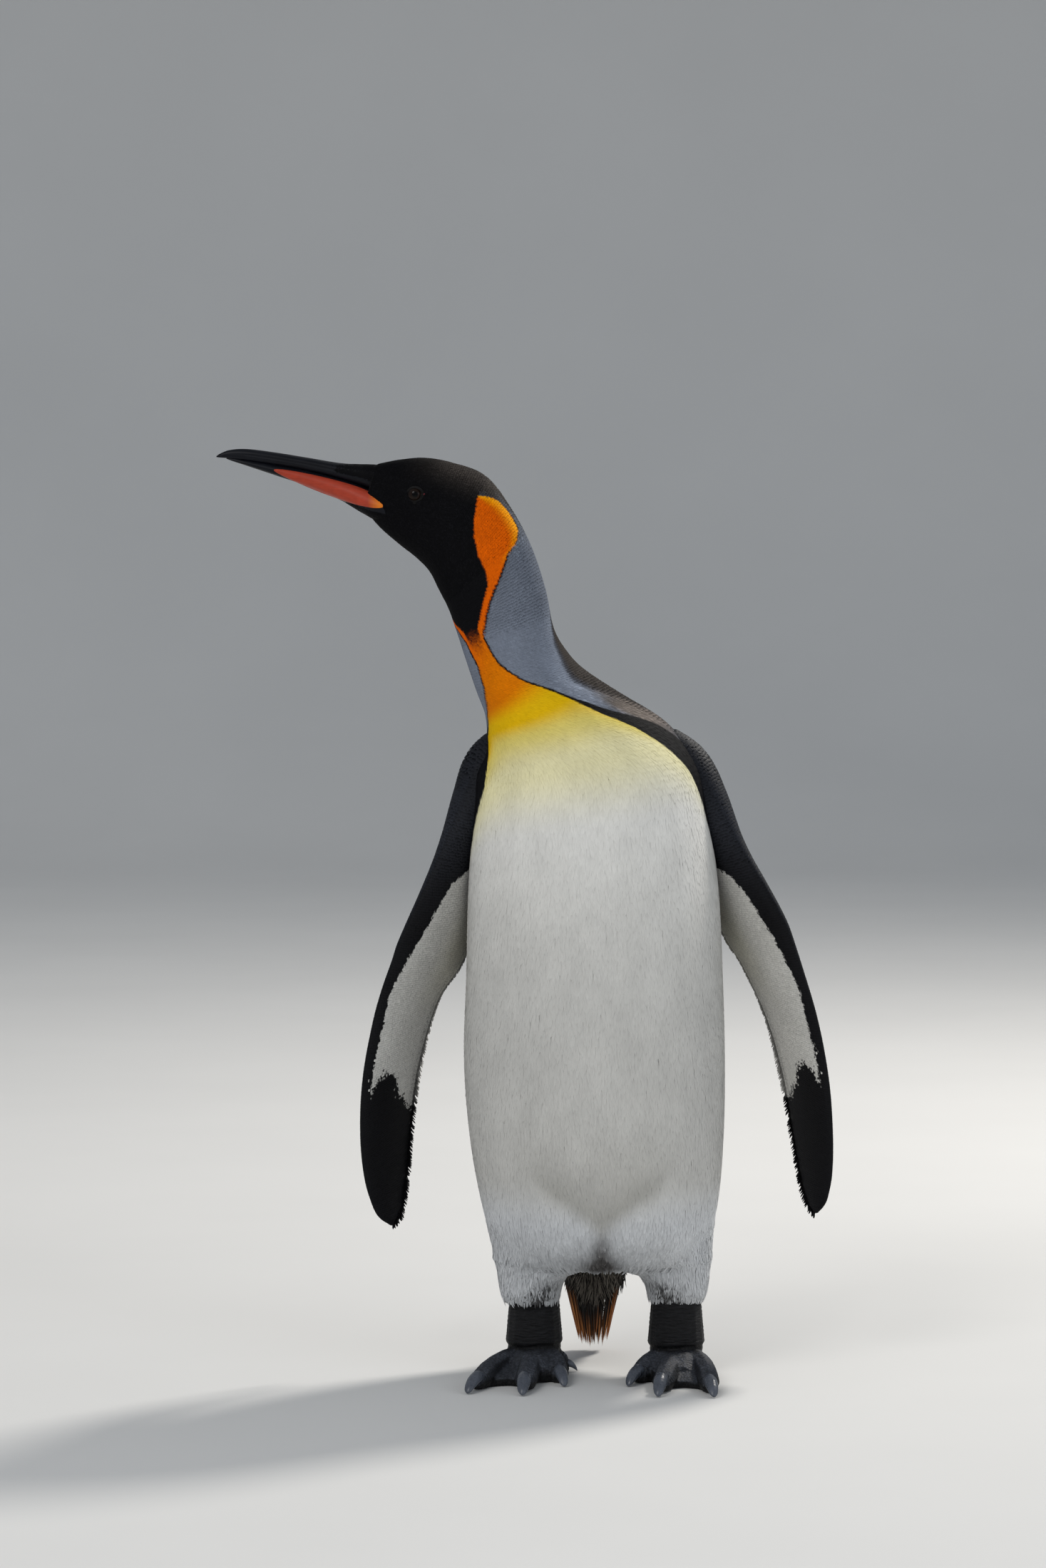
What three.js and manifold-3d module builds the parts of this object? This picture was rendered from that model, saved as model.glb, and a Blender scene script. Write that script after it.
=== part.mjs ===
// A king penguin, life size, standing on both feet, its neck stretched and its head turned to its right.
// Millimetres, +Z up. The bird faces -Y, its left side is +X, and the floor is z = 0.
// Every surface is a row of closed rings: a table gives a few stations, and a cubic runs through them.
import * as THREE from "three";
import { mergeVertices } from "three/addons/utils/BufferGeometryUtils.js";
import Module from "manifold-3d";

const wasm = await Module();
wasm.setup();

// ---- driving dimensions -------------------------------------------------------------------------
const GAP = 0.3; // clearance that parts two neighbouring pieces
const MIDLINE = 56; // trunk's midline, to the left of the middle of the whole bird, bill tip to flipper
const ROUND = 2.15; // superellipse power of a body section: 2 is an ellipse, more is squarer
const EYE = { radius: 7.6, x: -148.5, z: 741, out: 19.9 }; // out is from the head's midplane
const HEAD_PLANE_Y = -13; // midplane of the turned head
const HEAD_CUT = { x: -93, z: 679, lean: 40 }; // plane between head and neck
const NECK_CUT = { x: -38, z: 573, lean: 31 }; // plane between neck and trunk
const HIP_Z = 107; // height at which the legs enter the trunk

// Trunk, neck and head. x, y, z: centre. lean: tilt of the section's normal to the bird's right.
// turn: twist of the belly side to the bird's right. w: half width. f, b: depth to the front and the back.
const BODY = [
  { z: 94, x: 6, y: 7, lean: 0, turn: 0, w: 54, f: 46, b: 62 },
  { z: 99, x: 6, y: 4, lean: 0, turn: 0, w: 79, f: 68, b: 83 },
  { z: 116, x: 6, y: 1, lean: 0, turn: 0, w: 91, f: 87, b: 96 },
  { z: 146, x: 5.5, y: -2, lean: 0, turn: 0, w: 99.5, f: 102, b: 104 },
  { z: 200, x: 3, y: -4, lean: 0, turn: 0, w: 106.5, f: 114, b: 110 },
  { z: 265, x: 1, y: -5, lean: 0, turn: 0, w: 109.5, f: 118, b: 114 },
  { z: 340, x: 1, y: -5, lean: 0, turn: 0, w: 107.5, f: 116, b: 116 },
  { z: 410, x: 0, y: -4, lean: 0, turn: 0, w: 105, f: 109, b: 115 },
  { z: 465, x: -2, y: -2, lean: 0, turn: 0, w: 101, f: 99, b: 109 },
  { z: 508, x: -5, y: 0, lean: 2, turn: 0, w: 94.5, f: 88, b: 98 },
  { z: 534, x: -15, y: 0, lean: 8, turn: -10, w: 78, f: 74, b: 82 },
  { z: 556, x: -32, y: -2, lean: 14, turn: -25, w: 58, f: 58, b: 62 },
  { z: 574, x: -49, y: -5, lean: 22, turn: -45, w: 45, f: 43, b: 49 },
  { z: 591, x: -63, y: -9, lean: 23, turn: -65, w: 38, f: 37, b: 46 },
  { z: 616, x: -74, y: -13, lean: 18, turn: -80, w: 33, f: 35, b: 43 },
  { z: 643, x: -81, y: -15, lean: 25, turn: -90, w: 31, f: 37, b: 45 },
  { z: 670, x: -89, y: -15, lean: 36, turn: -90, w: 30, f: 40, b: 46 },
  { z: 695, x: -100, y: -14, lean: 48, turn: -90, w: 31, f: 44, b: 46.5 },
  { z: 716, x: -114, y: -13, lean: 60, turn: -90, w: 32, f: 45.5, b: 47 },
  { z: 728, x: -132, y: -13, lean: 69, turn: -90, w: 31, f: 43, b: 42 },
  { z: 737, x: -151, y: -13, lean: 73, turn: -90, w: 27, f: 39, b: 36 },
  { z: 744, x: -170, y: -13, lean: 73, turn: -90, w: 20, f: 31, b: 27 },
  { z: 749, x: -186, y: -13, lean: 73, turn: -90, w: 14, f: 20, b: 18 },
];

// Bill, in the head's midplane. x: along the bill. top, bottom: heights. w: half width.
const UPPER_BILL = [
  { x: -160, top: 764, bottom: 732, w: 12 },
  { x: -182, top: 765.5, bottom: 743.5, w: 12 },
  { x: -210, top: 767, bottom: 753.5, w: 9 },
  { x: -238, top: 771.5, bottom: 760.5, w: 7 },
  { x: -266, top: 776, bottom: 765.5, w: 5.6 },
  { x: -290, top: 778.8, bottom: 769.3, w: 4.4 },
  { x: -304, top: 777.8, bottom: 771, w: 3 },
  { x: -312, top: 774.6, bottom: 771.6, w: 1.4 },
  { x: -314.4, top: 772.8, bottom: 771.9, w: 0.5 },
];
const LOWER_BILL = [
  { x: -158, top: 731, bottom: 713, w: 18 },
  { x: -176, top: 740, bottom: 717, w: 17.5 },
  { x: -193, top: 747.5, bottom: 725.5, w: 14.2 },
  { x: -210, top: 753, bottom: 735.5, w: 11 },
  { x: -238, top: 760, bottom: 747.5, w: 8.2 },
  { x: -266, top: 765, bottom: 757, w: 6 },
  { x: -290, top: 768.8, bottom: 765, w: 3.8 },
  { x: -301, top: 770.2, bottom: 768.2, w: 1.6 },
];
const PLATE_PROUD = 1.1; // height of the orange plate over the lower bill
const PLATE_INLAY = 0.9; // depth that it is let in
const PLATE_TIP = [-267, 761.6];
const PLATE_BACK = [-175.5, 733];
const PLATE_HALF = 8.7; // half height near its round back end

// Flippers, shoulder to tip. x: out from the midline. heading: leading edge, 0 forward and 90 outward.
const RIGHT_FLIPPER = [
  { z: 530, x: 61, y: 6, chord: 44, thick: 36, heading: 28 },
  { z: 512, x: 79, y: 6, chord: 57, thick: 38, heading: 32 },
  { z: 486, x: 87, y: 5, chord: 66, thick: 34, heading: 37 },
  { z: 448, x: 99, y: 5, chord: 75, thick: 26, heading: 42 },
  { z: 400, x: 117, y: 6, chord: 82, thick: 20, heading: 45 },
  { z: 352, x: 138, y: 8, chord: 83, thick: 16, heading: 46 },
  { z: 326, x: 151, y: 9, chord: 72, thick: 14, heading: 45 },
  { z: 296, x: 161, y: 10, chord: 67, thick: 13, heading: 45 },
  { z: 250, x: 171, y: 12, chord: 65, thick: 11, heading: 43 },
  { z: 205, x: 175, y: 14, chord: 60, thick: 9, heading: 43 },
  { z: 168, x: 175, y: 16, chord: 51, thick: 7, heading: 43 },
  { z: 144, x: 173, y: 17, chord: 38, thick: 5.5, heading: 43 },
  { z: 131, x: 171, y: 18, chord: 24, thick: 4, heading: 43 },
  { z: 124, x: 170, y: 18, chord: 6, thick: 2, heading: 43 },
];
const LEFT_FLIPPER = [
  { z: 528, x: 51, y: 6, chord: 42, thick: 34, heading: 26 },
  { z: 510, x: 70, y: 6, chord: 56, thick: 38, heading: 30 },
  { z: 484, x: 82.5, y: 5, chord: 66, thick: 34, heading: 34 },
  { z: 447, x: 98, y: 5, chord: 76, thick: 26, heading: 38 },
  { z: 404, x: 121, y: 6, chord: 83, thick: 20, heading: 40 },
  { z: 372, x: 137.5, y: 7, chord: 85, thick: 18, heading: 40 },
  { z: 349, x: 148.5, y: 8, chord: 76, thick: 16, heading: 39 },
  { z: 300, x: 167, y: 10, chord: 67, thick: 13, heading: 37 },
  { z: 250, x: 179, y: 12, chord: 61, thick: 11, heading: 36 },
  { z: 205, x: 185, y: 14, chord: 54, thick: 9, heading: 36 },
  { z: 170, x: 188, y: 16, chord: 44, thick: 7, heading: 36 },
  { z: 150, x: 188.5, y: 17, chord: 32, thick: 5.5, heading: 36 },
  { z: 140, x: 188.5, y: 18, chord: 20, thick: 4, heading: 36 },
  { z: 134, x: 188.5, y: 18, chord: 6, thick: 2, heading: 36 },
];
const LEADING_BULK = 0.45; // how much thicker a flipper is at its leading edge

// Feathered legs, from inside the trunk down to the bare tarsus.
const RIGHT_LEG = [
  { z: 150, x: -50, y: -7, w: 44, f: 60, b: 56 },
  { z: 126, x: -50, y: -8, w: 39, f: 52, b: 49 },
  { z: 98, x: -53, y: -7, w: 29.5, f: 38, b: 38 },
  { z: 76, x: -53, y: -5, w: 26, f: 29, b: 30 },
  { z: 62, x: -52, y: -2, w: 24.5, f: 24.5, b: 26.5 },
];
const LEFT_LEG = [
  { z: 150, x: 55, y: -7, w: 44, f: 60, b: 56 },
  { z: 126, x: 61, y: -8, w: 40, f: 52, b: 49 },
  { z: 98, x: 69, y: -7, w: 30, f: 38, b: 38 },
  { z: 76, x: 71, y: -5, w: 26, f: 29, b: 30 },
  { z: 62, x: 70, y: -2, w: 24.5, f: 24.5, b: 26.5 },
];
// Bare tarsus, about its own axis, from inside the leg down into the foot.
const TARSUS = [
  { z: 78, x: 0, y: 1, w: 17, f: 17, b: 19 },
  { z: 60, x: 0, y: 0, w: 21.5, f: 20, b: 22 },
  { z: 38, x: 0, y: -1, w: 23, f: 21, b: 23 },
  { z: 25, x: 0, y: -1, w: 24, f: 22, b: 24 },
  { z: 12, x: 0, y: -1, w: 20, f: 18, b: 20 },
];
const RIGHT_FOOT = { x: -49.5, y: 1, heading: -5 }; // heading: of the middle toe, to the bird's left
const LEFT_FOOT = { x: 70, y: -6, heading: -9 };
// Toes. base: outwards from the tarsus's axis. spread: away from the middle toe, outwards.
// reach: to the claw's root. bow: outward bend. rise: how much higher the toe starts than the others.
const TOES = [
  { name: "outer", base: 13, spread: 16.5, reach: 93, w: 8.8, claw: 23, bow: 4, rise: 0 },
  { name: "middle", base: 0, spread: 0, reach: 92, w: 9.4, claw: 24, bow: 0, rise: 0 },
  { name: "inner", base: -11, spread: -16, reach: 52, w: 8.6, claw: 21, bow: -2, rise: 0 },
  { name: "hind", base: -4, spread: -105, reach: 24, w: 6, claw: 9, bow: 0, rise: 10 },
];
const INSTEP = { forward: 18, z: 6, w: 27, length: 36, height: 19 }; // swelling over the toes' roots
const WEB = { low: 1, root: 20, slope: 11, inset: 7, hollow: 0.62 }; // slope: fall from the root, degrees
const SOLE_SINK = 1.6; // the toes are let this far into the floor and cut off flat there

// Shallow fold down the middle of the lower belly, between the thighs.
const FOLD = { z: 138, reach: 52, half: 24, depth: 11 };

// Tail: a short root, and stiff feathers in two layers that draw together below it.
const TAIL_X = 2.5;
const TAIL_ROOT = [
  { z: 140, x: TAIL_X, y: 70, w: 46, f: 40, b: 34 },
  { z: 108, x: TAIL_X, y: 77, w: 38, f: 34, b: 27 },
  { z: 84, x: TAIL_X, y: 87, w: 28, f: 21, b: 17 },
  { z: 64, x: TAIL_X, y: 98, w: 20, f: 6, b: 6 },
];
const QUILLS = { count: 5, layers: 2, width: 12, thick: 3 };
const QUILL_FAN = { root: 41, tip: 31, top: 106, y: 88, length: 104, back: 25, step: 6 }; // step: layers
const QUILL_TAPER = [
  [0, 0.8],
  [0.45, 1],
  [0.85, 0.75],
  [1, 0.2],
];

// ---- making solids ------------------------------------------------------------------------------
const radians = THREE.MathUtils.degToRad;

// Cubic through the stations, spaced by the change of place and width. Slopes follow the neighbours.
function through(stations) {
  const keys = Object.keys(stations[0]);
  const step = (p, q, k) => (q[k] ?? 0) - (p[k] ?? 0);
  const at = [0];
  for (let i = 1; i < stations.length; i++) {
    const [p, q] = [stations[i - 1], stations[i]];
    at.push(at[i - 1] + Math.hypot(...["x", "y", "z", "w"].map((k) => step(p, q, k))));
  }
  const last = stations.length - 1;
  const slope = (i, k) => {
    const [a, b] = [Math.max(i - 1, 0), Math.min(i + 1, last)];
    return step(stations[a], stations[b], k) / (at[b] - at[a]);
  };
  return (u) => {
    const d = u * at[last];
    const i = Math.min(Math.max(at.findIndex((v) => v > d) - 1, 0) || (u > 0.5 ? last - 1 : 0), last - 1);
    const h = at[i + 1] - at[i];
    const s = (d - at[i]) / h;
    const value = (k) =>
      (2 * s ** 3 - 3 * s ** 2 + 1) * stations[i][k] +
      (s ** 3 - 2 * s ** 2 + s) * h * slope(i, k) +
      (-2 * s ** 3 + 3 * s ** 2) * stations[i + 1][k] +
      (s ** 3 - s ** 2) * h * slope(i + 1, k);
    return Object.fromEntries(keys.map((k) => [k, value(k)]));
  };
}

// Closed skin over rings of equal length, with a fan on each end.
function skin(rings) {
  const n = rings[0].length;
  const points = rings.flat();
  const faces = [];
  for (let i = 0; i + 1 < rings.length; i++) {
    for (let j = 0; j < n; j++) {
      const [a, b] = [i * n + j, i * n + ((j + 1) % n)];
      faces.push(a, b, b + n, a, b + n, a + n);
    }
  }
  for (const end of [0, rings.length - 1]) {
    const middle = rings[end].reduce((sum, p) => sum.add(p), new THREE.Vector3()).divideScalar(n);
    const m = points.push(middle) - 1;
    for (let j = 0; j < n; j++) {
      const [a, b] = [end * n + j, end * n + ((j + 1) % n)];
      faces.push(...(end ? [a, b, m] : [b, a, m]));
    }
  }
  const geometry = new THREE.BufferGeometry().setFromPoints(points);
  geometry.setIndex(faces);
  return geometry;
}

function solid(geometry, matrix = new THREE.Matrix4()) {
  const bare = (geometry.index ? geometry.toNonIndexed() : geometry.clone()).applyMatrix4(matrix);
  bare.deleteAttribute("normal");
  bare.deleteAttribute("uv");
  const merged = mergeVertices(bare, 1e-3);
  const closed = (corners) =>
    new wasm.Manifold(
      new wasm.Mesh({
        numProp: 3,
        vertProperties: merged.attributes.position.array,
        triVerts: new Uint32Array(corners),
      }),
    );
  const made = closed(merged.index.array);
  return made.volume() > 0 ? made : closed(merged.index.array.slice().reverse());
}

const joined = (solids) => solids.reduce((all, s) => all.add(s));
const cutBy = (whole, ...tools) => tools.reduce((rest, t) => rest.subtract(t), whole);
const largest = (s) => s.decompose().sort((a, b) => b.volume() - a.volume())[0];

function box(width, depth, height, matrix) {
  return solid(new THREE.BoxGeometry(width, depth, height), matrix);
}

// Ring of points at even angles; along(angle) places one.
const ring = (count, along) =>
  Array.from({ length: count }, (_, j) => along((j / count) * 2 * Math.PI));
const rows = (count, make) => Array.from({ length: count }, (_, i) => make(i / (count - 1)));
const power = (v) => Math.sign(v) * Math.abs(v) ** (2 / ROUND);

// ---- trunk, neck and head -----------------------------------------------------------------------
// Depth of the fold at height z, a distance out from the midline of the belly.
const fold = (z, out) =>
  FOLD.depth * Math.exp(-(((z - FOLD.z) / FOLD.reach) ** 2) - (out / FOLD.half) ** 2);

function bodySolid(extra, rings = 35, around = 24) {
  const at = through(BODY);
  return solid(
    skin(
      rows(rings, (u) => {
        const s = at(u);
        const lean = radians(s.lean);
        const up = new THREE.Vector3(-Math.sin(lean), 0, Math.cos(lean));
        const front = new THREE.Vector3(0, -1, 0).applyAxisAngle(up, radians(s.turn));
        const left = new THREE.Vector3().crossVectors(up, front);
        const centre = new THREE.Vector3(s.x + MIDLINE, s.y, s.z);
        return ring(around, (a) => {
          const out = (s.w + extra) * power(Math.sin(a));
          const forward = Math.cos(a) > 0;
          const deep = ((forward ? s.f : s.b) + extra) * power(Math.cos(a));
          return centre
            .clone()
            .addScaledVector(front, deep - (forward ? fold(s.z, out) : 0))
            .addScaledVector(left, out);
        });
      }),
    ),
  );
}

// Thin cut across the body, square to a lean to the bird's right.
function slab({ x, z, lean }) {
  const place = new THREE.Matrix4().makeRotationY(-radians(lean));
  place.setPosition(x + MIDLINE, HEAD_PLANE_Y, z);
  return box(240, 240, GAP, place);
}

// ---- bill, plates and eyes ----------------------------------------------------------------------
function billSolid(stations, extra, rings = 11, around = 10) {
  const at = through(stations);
  return solid(
    skin(
      rows(rings, (u) => {
        const s = at(u);
        const half = (s.top - s.bottom) / 2 + extra;
        return ring(
          around,
          (a) =>
            new THREE.Vector3(
              s.x + MIDLINE,
              HEAD_PLANE_Y + (s.w + extra) * power(Math.sin(a)),
              (s.top + s.bottom) / 2 + half * power(Math.cos(a)),
            ),
        );
      }),
    ),
  );
}

// Leaf-shaped outline of the plate: pointed in front, round behind.
function plateShape(extra) {
  const [tip, back] = [new THREE.Vector2(...PLATE_TIP), new THREE.Vector2(...PLATE_BACK)];
  const along = back.clone().sub(tip);
  const length = along.length() + 2 * extra;
  along.normalize();
  const across = new THREE.Vector2(-along.y, along.x);
  const start = tip.clone().addScaledVector(along, -extra);
  const count = 9;
  const edge = [];
  for (let i = 0; i <= count; i++) {
    const t = (i / count) ** 1.4;
    const half = (PLATE_HALF + extra) * 1.28 * Math.sqrt(1 - t ** 5) * t ** 0.62 * (1 - 0.22 * t);
    edge.push([t * length, half]);
  }
  const point = ([d, h]) => start.clone().addScaledVector(along, d).addScaledVector(across, h);
  const lower = edge.slice(1, -1).map(([d, h]) => [d, -h]);
  return new THREE.Shape([...edge, ...lower.reverse()].map(point));
}

function plateSolid(side, extra) {
  const depth = 30;
  const prism = new THREE.ExtrudeGeometry(plateShape(extra), { depth, bevelEnabled: false });
  const place = new THREE.Matrix4().makeRotationX(Math.PI / 2); // the outline's y becomes z
  place.setPosition(MIDLINE, HEAD_PLANE_Y + (side > 0 ? -1 : 1 + depth), 0);
  const shell = billSolid(LOWER_BILL, PLATE_PROUD + extra);
  return shell.intersect(solid(prism, place)).subtract(billSolid(LOWER_BILL, -PLATE_INLAY - extra));
}

// side is 1 for the left, which the turned head shows to -Y.
function eyeSolid(side, extra) {
  const place = new THREE.Matrix4().makeTranslation(EYE.x + MIDLINE, HEAD_PLANE_Y - side * EYE.out, EYE.z);
  return solid(new THREE.SphereGeometry(EYE.radius + extra, 12, 7), place);
}

// ---- flippers -----------------------------------------------------------------------------------
function flipperSolid(stations, side, rings = 18, around = 12) {
  const at = through(stations);
  const centre = (s) => new THREE.Vector3(side * s.x + MIDLINE, s.y, s.z);
  return solid(
    skin(
      rows(rings, (u) => {
        const s = at(u);
        const down = centre(at(Math.min(u + 0.01, 1))).sub(centre(at(Math.max(u - 0.01, 0)))).normalize();
        const heading = radians(s.heading);
        const lead = new THREE.Vector3(side * Math.sin(heading), -Math.cos(heading), 0);
        lead.addScaledVector(down, -lead.dot(down)).normalize();
        const outer = new THREE.Vector3().crossVectors(down, lead);
        return ring(around, (a) =>
          centre(s)
            .addScaledVector(lead, (s.chord / 2) * Math.cos(a))
            .addScaledVector(outer, (s.thick / 2) * Math.sin(a) * (1 + LEADING_BULK * Math.cos(a))),
        );
      }),
    ),
  );
}

// ---- legs, feet and tail ------------------------------------------------------------------------
// Upright limb with oval sections, set at (x, y).
function limbSolid(stations, { x = 0, y = 0, extra = 0, rings = 5, around = 16 } = {}) {
  const at = through(stations);
  return solid(
    skin(
      rows(rings, (u) => {
        const s = at(u);
        return ring(around, (a) => {
          const deep = (Math.cos(a) > 0 ? s.f : s.b) + extra;
          return new THREE.Vector3(
            s.x + x + MIDLINE + (s.w + extra) * Math.sin(a),
            s.y + y - deep * Math.cos(a),
            s.z,
          );
        });
      }),
    ),
  );
}

// Frame of a toe on the floor: its path runs along -Y from the toe's base.
function toePlace(foot, side, { base, spread }) {
  const place = new THREE.Matrix4().makeTranslation(foot.x + MIDLINE, foot.y, 0);
  place.multiply(new THREE.Matrix4().makeRotationZ(radians(foot.heading)));
  place.multiply(new THREE.Matrix4().makeTranslation(side * base, 0, 0));
  return place.multiply(new THREE.Matrix4().makeRotationZ(radians(side * spread)));
}

// Round bar along stations: d is the distance forward, o the distance sideways, h the height,
// w and t the half sizes.
function barSolid(stations, place, extra = 0, rings = 6, around = 8) {
  const at = through(
    stations.map(({ d, o = 0, h, w, t }) => ({ x: o, y: -d, z: h, w: w + extra, t: t + extra })),
  );
  return solid(
    skin(
      rows(rings, (u) => {
        const s = at(u);
        return ring(
          around,
          (a) => new THREE.Vector3(s.x + s.w * Math.sin(a), s.y, s.z + s.t * Math.cos(a)),
        );
      }),
    ),
    place,
  );
}

function toeSolid(foot, side, toe) {
  const { reach, w, bow, rise } = toe;
  const station = (k, h, wide, t) => ({
    d: reach * k,
    o: side * bow * Math.sin(Math.PI * Math.min(k, 1)),
    h: h - SOLE_SINK + rise * (1 - k),
    w: wide,
    t,
  });
  return barSolid(
    [
      station(0, 13, w + 2, 13),
      station(0.3, 12.5, w + 1.2, 12.5),
      station(0.62, 11, w + 0.4, 11),
      station(0.9, 8.8, w + 0.2, 8.8),
      station(1.03, 7, w * 0.78, 6.4),
      station(1.08, 6, w * 0.3, 2.4),
    ],
    toePlace(foot, side, toe),
  );
}

function clawSolid(foot, side, toe, extra) {
  const { reach, w, claw } = toe;
  const station = (k, h, wide, t) => ({ d: reach + claw * k, h: w * h, w: w * wide, t: w * t });
  return barSolid(
    [
      station(-0.34, 1.2, 0.4, 0.36),
      station(0.05, 1.24, 0.56, 0.56),
      station(0.45, 0.96, 0.5, 0.5),
      station(0.8, 0.48, 0.3, 0.28),
      station(1, 0.14, 0.09, 0.08),
    ],
    toePlace(foot, side, toe),
    extra,
    6,
    7,
  );
}

// Web between the front toes: its edge sinks back between each two of them, and it thins towards it.
function webSolid(foot, side) {
  const onFoot = new THREE.Matrix4().makeTranslation(foot.x + MIDLINE, foot.y, 0);
  const flat = ({ x, y }) => new THREE.Vector2(x, y);
  const centre = flat(new THREE.Vector3().applyMatrix4(onFoot));
  const tips = TOES.slice(0, 3).map((toe) =>
    flat(new THREE.Vector3(0, WEB.inset - toe.reach, 0).applyMatrix4(toePlace(foot, side, toe))),
  );
  const outline = [centre];
  for (let i = 0; i + 1 < tips.length; i++) {
    const middle = tips[i].clone().add(tips[i + 1]).multiplyScalar(0.5).lerp(centre, 1 - WEB.hollow);
    const edge = new THREE.QuadraticBezierCurve(tips[i], middle, tips[i + 1]);
    outline.push(...edge.getPoints(4).slice(i ? 1 : 0));
  }
  const sheet = new THREE.ExtrudeGeometry(new THREE.Shape(outline), {
    depth: WEB.root,
    bevelEnabled: false,
  });
  const fall = new THREE.Matrix4().makeTranslation(centre.x, centre.y, WEB.root);
  fall.multiply(new THREE.Matrix4().makeRotationX(radians(WEB.slope)));
  fall.multiply(new THREE.Matrix4().makeTranslation(0, 0, -100));
  const raised = new THREE.Matrix4().makeTranslation(0, 0, WEB.low);
  return solid(sheet, raised).intersect(box(400, 400, 200, fall));
}

function instepSolid(foot) {
  const place = new THREE.Matrix4().makeTranslation(foot.x + MIDLINE, foot.y - INSTEP.forward, INSTEP.z);
  place.scale(new THREE.Vector3(INSTEP.w, INSTEP.length, INSTEP.height));
  return solid(new THREE.SphereGeometry(1, 10, 6), place);
}

function footSolid(foot, side) {
  const above = box(400, 400, 200, new THREE.Matrix4().makeTranslation(foot.x + MIDLINE, 0, 100));
  const toes = TOES.map((toe) => toeSolid(foot, side, toe));
  return joined([...toes, webSolid(foot, side), instepSolid(foot)]).intersect(above);
}

// Stiff tail feathers: narrow pointed blades fanned over the tail's width, in two layers.
function quillSolids() {
  const { count, layers, width, thick } = QUILLS;
  const { root, tip, top, y, length, back, step } = QUILL_FAN;
  const made = [];
  for (let layer = 0; layer < layers; layer++) {
    for (let i = 0; i < count - layer; i++) {
      const across = (2 * i - (count - layer - 1)) / (count - 1); // -1 to 1 over the fan
      const start = new THREE.Vector3(TAIL_X + MIDLINE + (across * root) / 2, y + layer * step, top);
      const path = new THREE.Vector3((across * (tip - root)) / 2, back, -length * (1 - 0.12 * across ** 2));
      made.push(
        solid(
          skin(
            QUILL_TAPER.map(([t, wide]) => {
              const middle = start.clone().addScaledVector(path, t);
              const [a, b] = [(width / 2) * wide, (thick / 2) * wide];
              return ring(4, (v) => new THREE.Vector3(a * Math.cos(v), b * Math.sin(v), 0).add(middle));
            }),
          ),
        ),
      );
    }
  }
  return made;
}

// ---- the bird -----------------------------------------------------------------------------------
const plumage = (color) => new THREE.MeshStandardMaterial({ color, roughness: 0.8, metalness: 0 });
const horn = (color) => new THREE.MeshStandardMaterial({ color, roughness: 0.35, metalness: 0 });
const MATERIALS = {
  white: plumage(0xd9d7cf),
  black: plumage(0x17181c),
  grey: plumage(0x7c828c),
  bare: new THREE.MeshStandardMaterial({ color: 0x25262b, roughness: 0.6, metalness: 0 }),
  quill: plumage(0x2a211b),
  claw: horn(0x4a4d55),
  bill: horn(0x14151b),
  plate: horn(0xc4573a),
  eye: new THREE.MeshStandardMaterial({ color: 0x1a1411, roughness: 0.08, metalness: 0 }),
};

const bird = new THREE.Group();

function put(name, made, material) {
  const { numProp, vertProperties, triVerts } = made.getMesh();
  const points = new Float32Array((vertProperties.length / numProp) * 3);
  for (let i = 0; i * numProp < vertProperties.length; i++)
    points.set(vertProperties.subarray(i * numProp, i * numProp + 3), i * 3);
  const geometry = new THREE.BufferGeometry();
  geometry.setAttribute("position", new THREE.BufferAttribute(points, 3));
  geometry.setIndex(new THREE.BufferAttribute(triVerts, 1));
  geometry.computeVertexNormals();
  const mesh = new THREE.Mesh(geometry, MATERIALS[material]);
  mesh.name = name;
  bird.add(mesh);
}

const whole = bodySolid(0);
const wholeGrown = bodySolid(GAP);
const SIDES = [
  { name: "left", side: 1, flipper: LEFT_FLIPPER, leg: LEFT_LEG, foot: LEFT_FOOT },
  { name: "right", side: -1, flipper: RIGHT_FLIPPER, leg: RIGHT_LEG, foot: RIGHT_FOOT },
];

// Body: one form, parted by thin cuts into trunk, neck and head.
const [trunkForm, neckForm, headForm] = cutBy(whole, slab(NECK_CUT), slab(HEAD_CUT))
  .decompose()
  .sort((a, b) => a.boundingBox().max[2] - b.boundingBox().max[2]);

// Bill and eyes are whole, and the head is cut to take them.
const headTools = [billSolid(UPPER_BILL, GAP), billSolid(LOWER_BILL, GAP)];
for (const { name, side } of SIDES) {
  headTools.push(plateSolid(side, GAP), eyeSolid(side, GAP));
  put("mandible_plate_" + name, plateSolid(side, 0), "plate");
  put("eye_" + name, eyeSolid(side, 0), "eye");
}
put("head", largest(cutBy(headForm, ...headTools)), "black");
put("neck", neckForm, "grey");
put("bill_upper", cutBy(billSolid(UPPER_BILL, 0), plateSolid(1, GAP), plateSolid(-1, GAP)), "bill");
put("bill_lower", cutBy(billSolid(LOWER_BILL, 0), plateSolid(1, GAP), plateSolid(-1, GAP)), "bill");

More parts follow.
